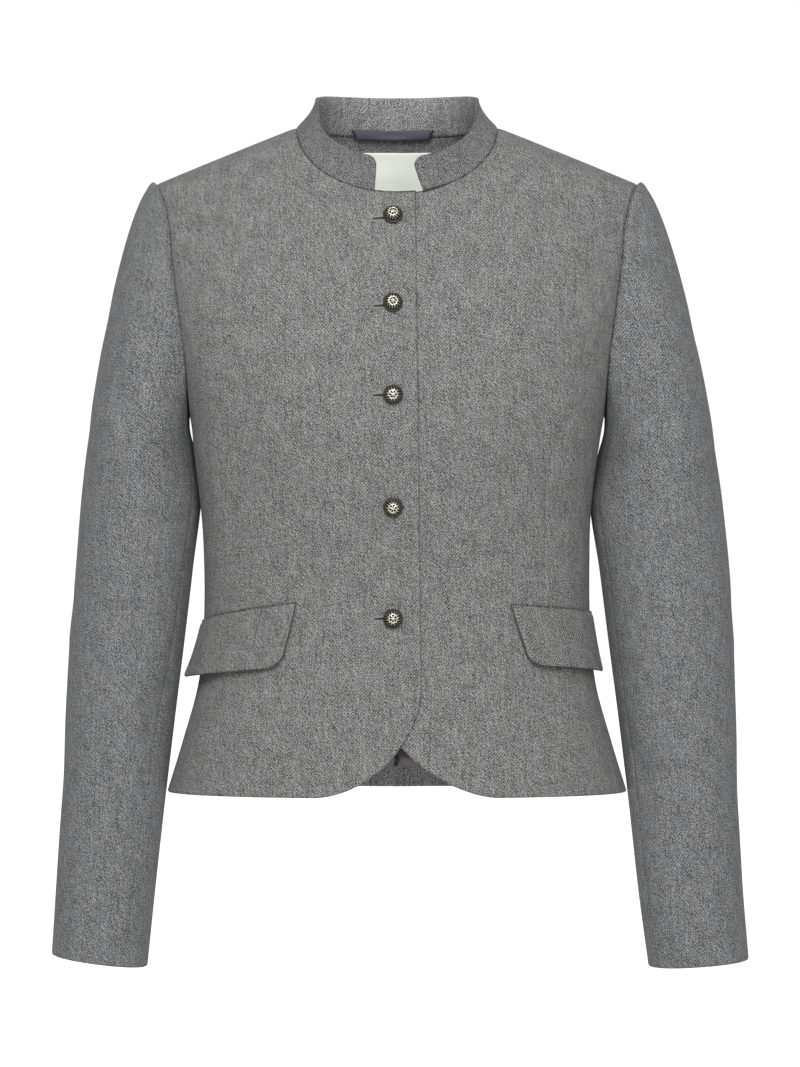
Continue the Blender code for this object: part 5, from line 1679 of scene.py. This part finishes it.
class JACKET_OT_collar(bpy.types.Operator):
    """Makes the stand collar"""

    bl_idname = "jacket.collar"
    bl_label = "Collar"

    def execute(self, context):
        across = grid_lines(400.0, (0.0, 0.5, 1.0), spacing=2.6)
        up = grid_lines(31.0, spacing=2.0)
        kinds = {"bottom": SEAM, "top": TURNED, "outer": [(0, 1, TURNED)], "inner": [(0, 1, TURNED)]}
        piece = sew("cloth_collar", collar, across, up, COLLAR_WALL, kinds,
                    [finish_for("loden_collar_shaded"), finish_for("lining_satin"), finish_for("loden_facing_lit")],
                    lambda point, turned: turned > -1, seam_dip=0.5, lap=1.2)
        dress(piece, "collar")
        return {"FINISHED"}


class JACKET_OT_flaps(bpy.types.Operator):
    """Makes the two pocket flaps"""

    bl_idname = "jacket.flaps"
    bl_label = "Pocket flaps"

    def execute(self, context):
        across = grid_lines(95.0, spacing=2.4)
        up = grid_lines(46.0, spacing=2.2)
        kinds = {"bottom": TURNED, "top": SEAM, "outer": [(0, 1, TURNED)], "inner": [(0, 1, TURNED)]}
        for hand in SIDES:
            name = f"pocket_flap_{hand}"
            piece = sew(f"cloth_{name}", lambda a, u: flap(a, u, hand), across, up, FLAP_WALL, kinds,
                        [finish_for("loden_flap_shaded")], seam_dip=1.25)
            dress(piece, name)
        return {"FINISHED"}


class JACKET_OT_lining(bpy.types.Operator):
    """Makes the lower back's lining, which shows in the cutaway"""

    bl_idname = "jacket.lining"
    bl_label = "Lining"

    def execute(self, context):
        across = grid_lines(480.0, (0.0, 0.5, 1.0), spacing=2.0)
        up = grid_lines(115.0, spacing=2.0)
        kinds = {"bottom": TURNED, "top": TURNED, "outer": [(0, 1, TURNED)], "inner": [(0, 1, TURNED)]}
        # The dart given here is the centre pleat's fold: a shallow groove with painted shade along it.
        piece = sew("satin_back_lining", lining, across, up, LINING_WALL, kinds,
                    [finish_for("lining_satin")],
                    dart=(1.5, -487.0, -1.5, -512.0), dart_faint=0.2)
        dress(piece, "back_lining")
        return {"FINISHED"}


class JACKET_OT_neck_trimmings(bpy.types.Operator):
    """Makes the ribbon loop and the bare label inside the neck"""

    bl_idname = "jacket.neck_trimmings"
    bl_label = "Hanger loop and label"

    def execute(self, context):
        kinds = {"bottom": TURNED, "top": TURNED, "outer": [(0, 1, TURNED)], "inner": [(0, 1, TURNED)]}
        piece = sew("ribbon_hanger_loop", loop, grid_lines(68.0, spacing=1.2), grid_lines(8.0, spacing=0.6),
                    RIBBON_WALL, kinds, [finish_for("navy_ribbon")])
        dress(piece, "hanger_loop")
        piece = sew("satin_neck_label", label, grid_lines(72.0, spacing=2.0), grid_lines(46.0, spacing=2.0),
                    LABEL_WALL, kinds, [finish_for("label_satin")])
        dress(piece, "neck_label")
        return {"FINISHED"}


class JACKET_OT_buttons(bpy.types.Operator):
    """Makes the five domed filigree buttons"""

    bl_idname = "jacket.buttons"
    bl_label = "Buttons"

    def execute(self, context):
        for number, height in enumerate(BUTTON_HEIGHTS, start=1):
            make_button(f"silver_button_{number}", height, f"button_{number}")
        return {"FINISHED"}


class JACKET_OT_buttonholes(bpy.types.Operator):
    """Works the five buttonholes beside the buttons"""

    bl_idname = "jacket.buttonholes"
    bl_label = "Buttonholes"

    def execute(self, context):
        for number, height in enumerate(BUTTON_HEIGHTS, start=1):
            make_buttonhole(number, height)
        return {"FINISHED"}


def soft_light(name, spot, aim, size, power):
    """A square area light aimed at a point."""
    lamp = bpy.data.lights.new(name, "AREA")
    lamp.shape = "SQUARE"
    lamp.size = size
    lamp.energy = power
    holder = bpy.data.objects.new(name, lamp)
    holder.location = spot
    holder.rotation_euler = (Vector(aim) - Vector(spot)).to_track_quat("-Z", "Y").to_euler()
    bpy.context.scene.collection.objects.link(holder)
    return holder


class JACKET_OT_studio(bpy.types.Operator):
    """Sets up the pale floor, the soft light and the camera"""

    bl_idname = "jacket.studio"
    bl_label = "Studio"

    def execute(self, context):
        studio = context.scene.jacket_studio
        context.scene.view_settings.view_transform = "Standard"
        world = bpy.data.worlds.new("studio")
        context.scene.world = world
        world.use_nodes = True
        tree = world.node_tree
        shown = put(tree, "ShaderNodeBackground", {"Color": (1, 1, 1, 1), "Strength": 1.05})
        lit = tree.nodes["Background"]
        lit.inputs["Color"].default_value = (0.985, 0.99, 1.0, 1.0)
        lit.inputs["Strength"].default_value = studio.sky
        sight = put(tree, "ShaderNodeLightPath").outputs["Is Camera Ray"]
        mixed = put(tree, "ShaderNodeMixShader", {0: sight, 1: lit.outputs[0], 2: shown.outputs[0]})
        tree.links.new(mixed.outputs[0], tree.nodes["World Output"].inputs[0])

        bm = bmesh.new()
        bmesh.ops.create_grid(bm, x_segments=8, y_segments=8, size=12.0)
        bmesh.ops.translate(bm, verts=bm.verts[:], vec=(0, 6.0, -studio.floor_drop))
        mesh = bpy.data.meshes.new("floor")
        bm.to_mesh(mesh)
        bm.free()
        paper, tree, shader = new_material("paper_floor")
        spots = put(tree, "ShaderNodeTexCoord").outputs["Object"]
        grain = put(tree, "ShaderNodeTexNoise", {"Vector": spots, "Scale": 300.0, "Detail": 3.0}).outputs[0]
        tree.links.new(blend(tree, grain, (0.92, 0.92, 0.92, 1), (0.96, 0.96, 0.96, 1)),
                       shader.inputs["Base Color"])
        shader.inputs["Roughness"].default_value = 0.9
        shader.inputs["Emission Color"].default_value = (1.0, 1.0, 1.0, 1.0)
        seen = put(tree, "ShaderNodeLightPath").outputs["Is Camera Ray"]
        tree.links.new(calc(tree, "MULTIPLY", seen, 0.80), shader.inputs["Emission Strength"])
        mesh.materials.append(paper)
        floor = bpy.data.objects.new("floor", mesh)
        context.scene.collection.objects.link(floor)

        soft_light("key", (-0.15, -2.15, 1.20), (0.0, 0.0, -0.25), 1.3, studio.key)
        soft_light("fill", (0.9, -2.9, 0.2), (0.0, 0.0, -0.30), 1.5, studio.key * 0.34)

        camera = bpy.data.cameras.new("camera")
        camera.lens = studio.lens
        camera.sensor_width = 36.0
        holder = bpy.data.objects.new("camera", camera)
        holder.location = (studio.across, -studio.reach, studio.height)
        holder.rotation_euler = (math.pi / 2, 0, 0)
        context.scene.collection.objects.link(holder)
        context.scene.camera = holder
        return {"FINISHED"}


OPERATORS = (JACKET_OT_fronts, JACKET_OT_back, JACKET_OT_sleeves, JACKET_OT_collar, JACKET_OT_flaps,
             JACKET_OT_lining, JACKET_OT_neck_trimmings, JACKET_OT_buttons, JACKET_OT_buttonholes,
             JACKET_OT_studio)


class JACKET_PT_pieces(bpy.types.Panel):
    """The jacket's pieces and settings"""

    bl_idname = "JACKET_PT_pieces"
    bl_label = "Loden Jacket"
    bl_space_type = "VIEW_3D"
    bl_region_type = "UI"
    bl_category = "Jacket"

    def draw(self, context):
        for operator in OPERATORS:
            self.layout.operator(operator.bl_idname)
        for group in (context.scene.jacket, context.scene.jacket_studio):
            for name in group.bl_rna.properties.keys():
                if name not in ("rna_type", "name"):
                    self.layout.prop(group, name)


CLASSES = (JacketSettings, StudioSettings, *OPERATORS, JACKET_PT_pieces)


def register():
    """Adds the jacket's classes and its settings to Blender."""
    for cls in CLASSES:
        bpy.utils.register_class(cls)
    bpy.types.Scene.jacket = PointerProperty(type=JacketSettings)
    bpy.types.Scene.jacket_studio = PointerProperty(type=StudioSettings)


def unregister():
    """Takes them away again."""
    del bpy.types.Scene.jacket_studio
    del bpy.types.Scene.jacket
    for cls in reversed(CLASSES):
        bpy.utils.unregister_class(cls)


def main():
    register()
    for operator in OPERATORS:
        group, name = operator.bl_idname.split(".")
        getattr(getattr(bpy.ops, group), name)()


if __name__ == "__main__":
    main()
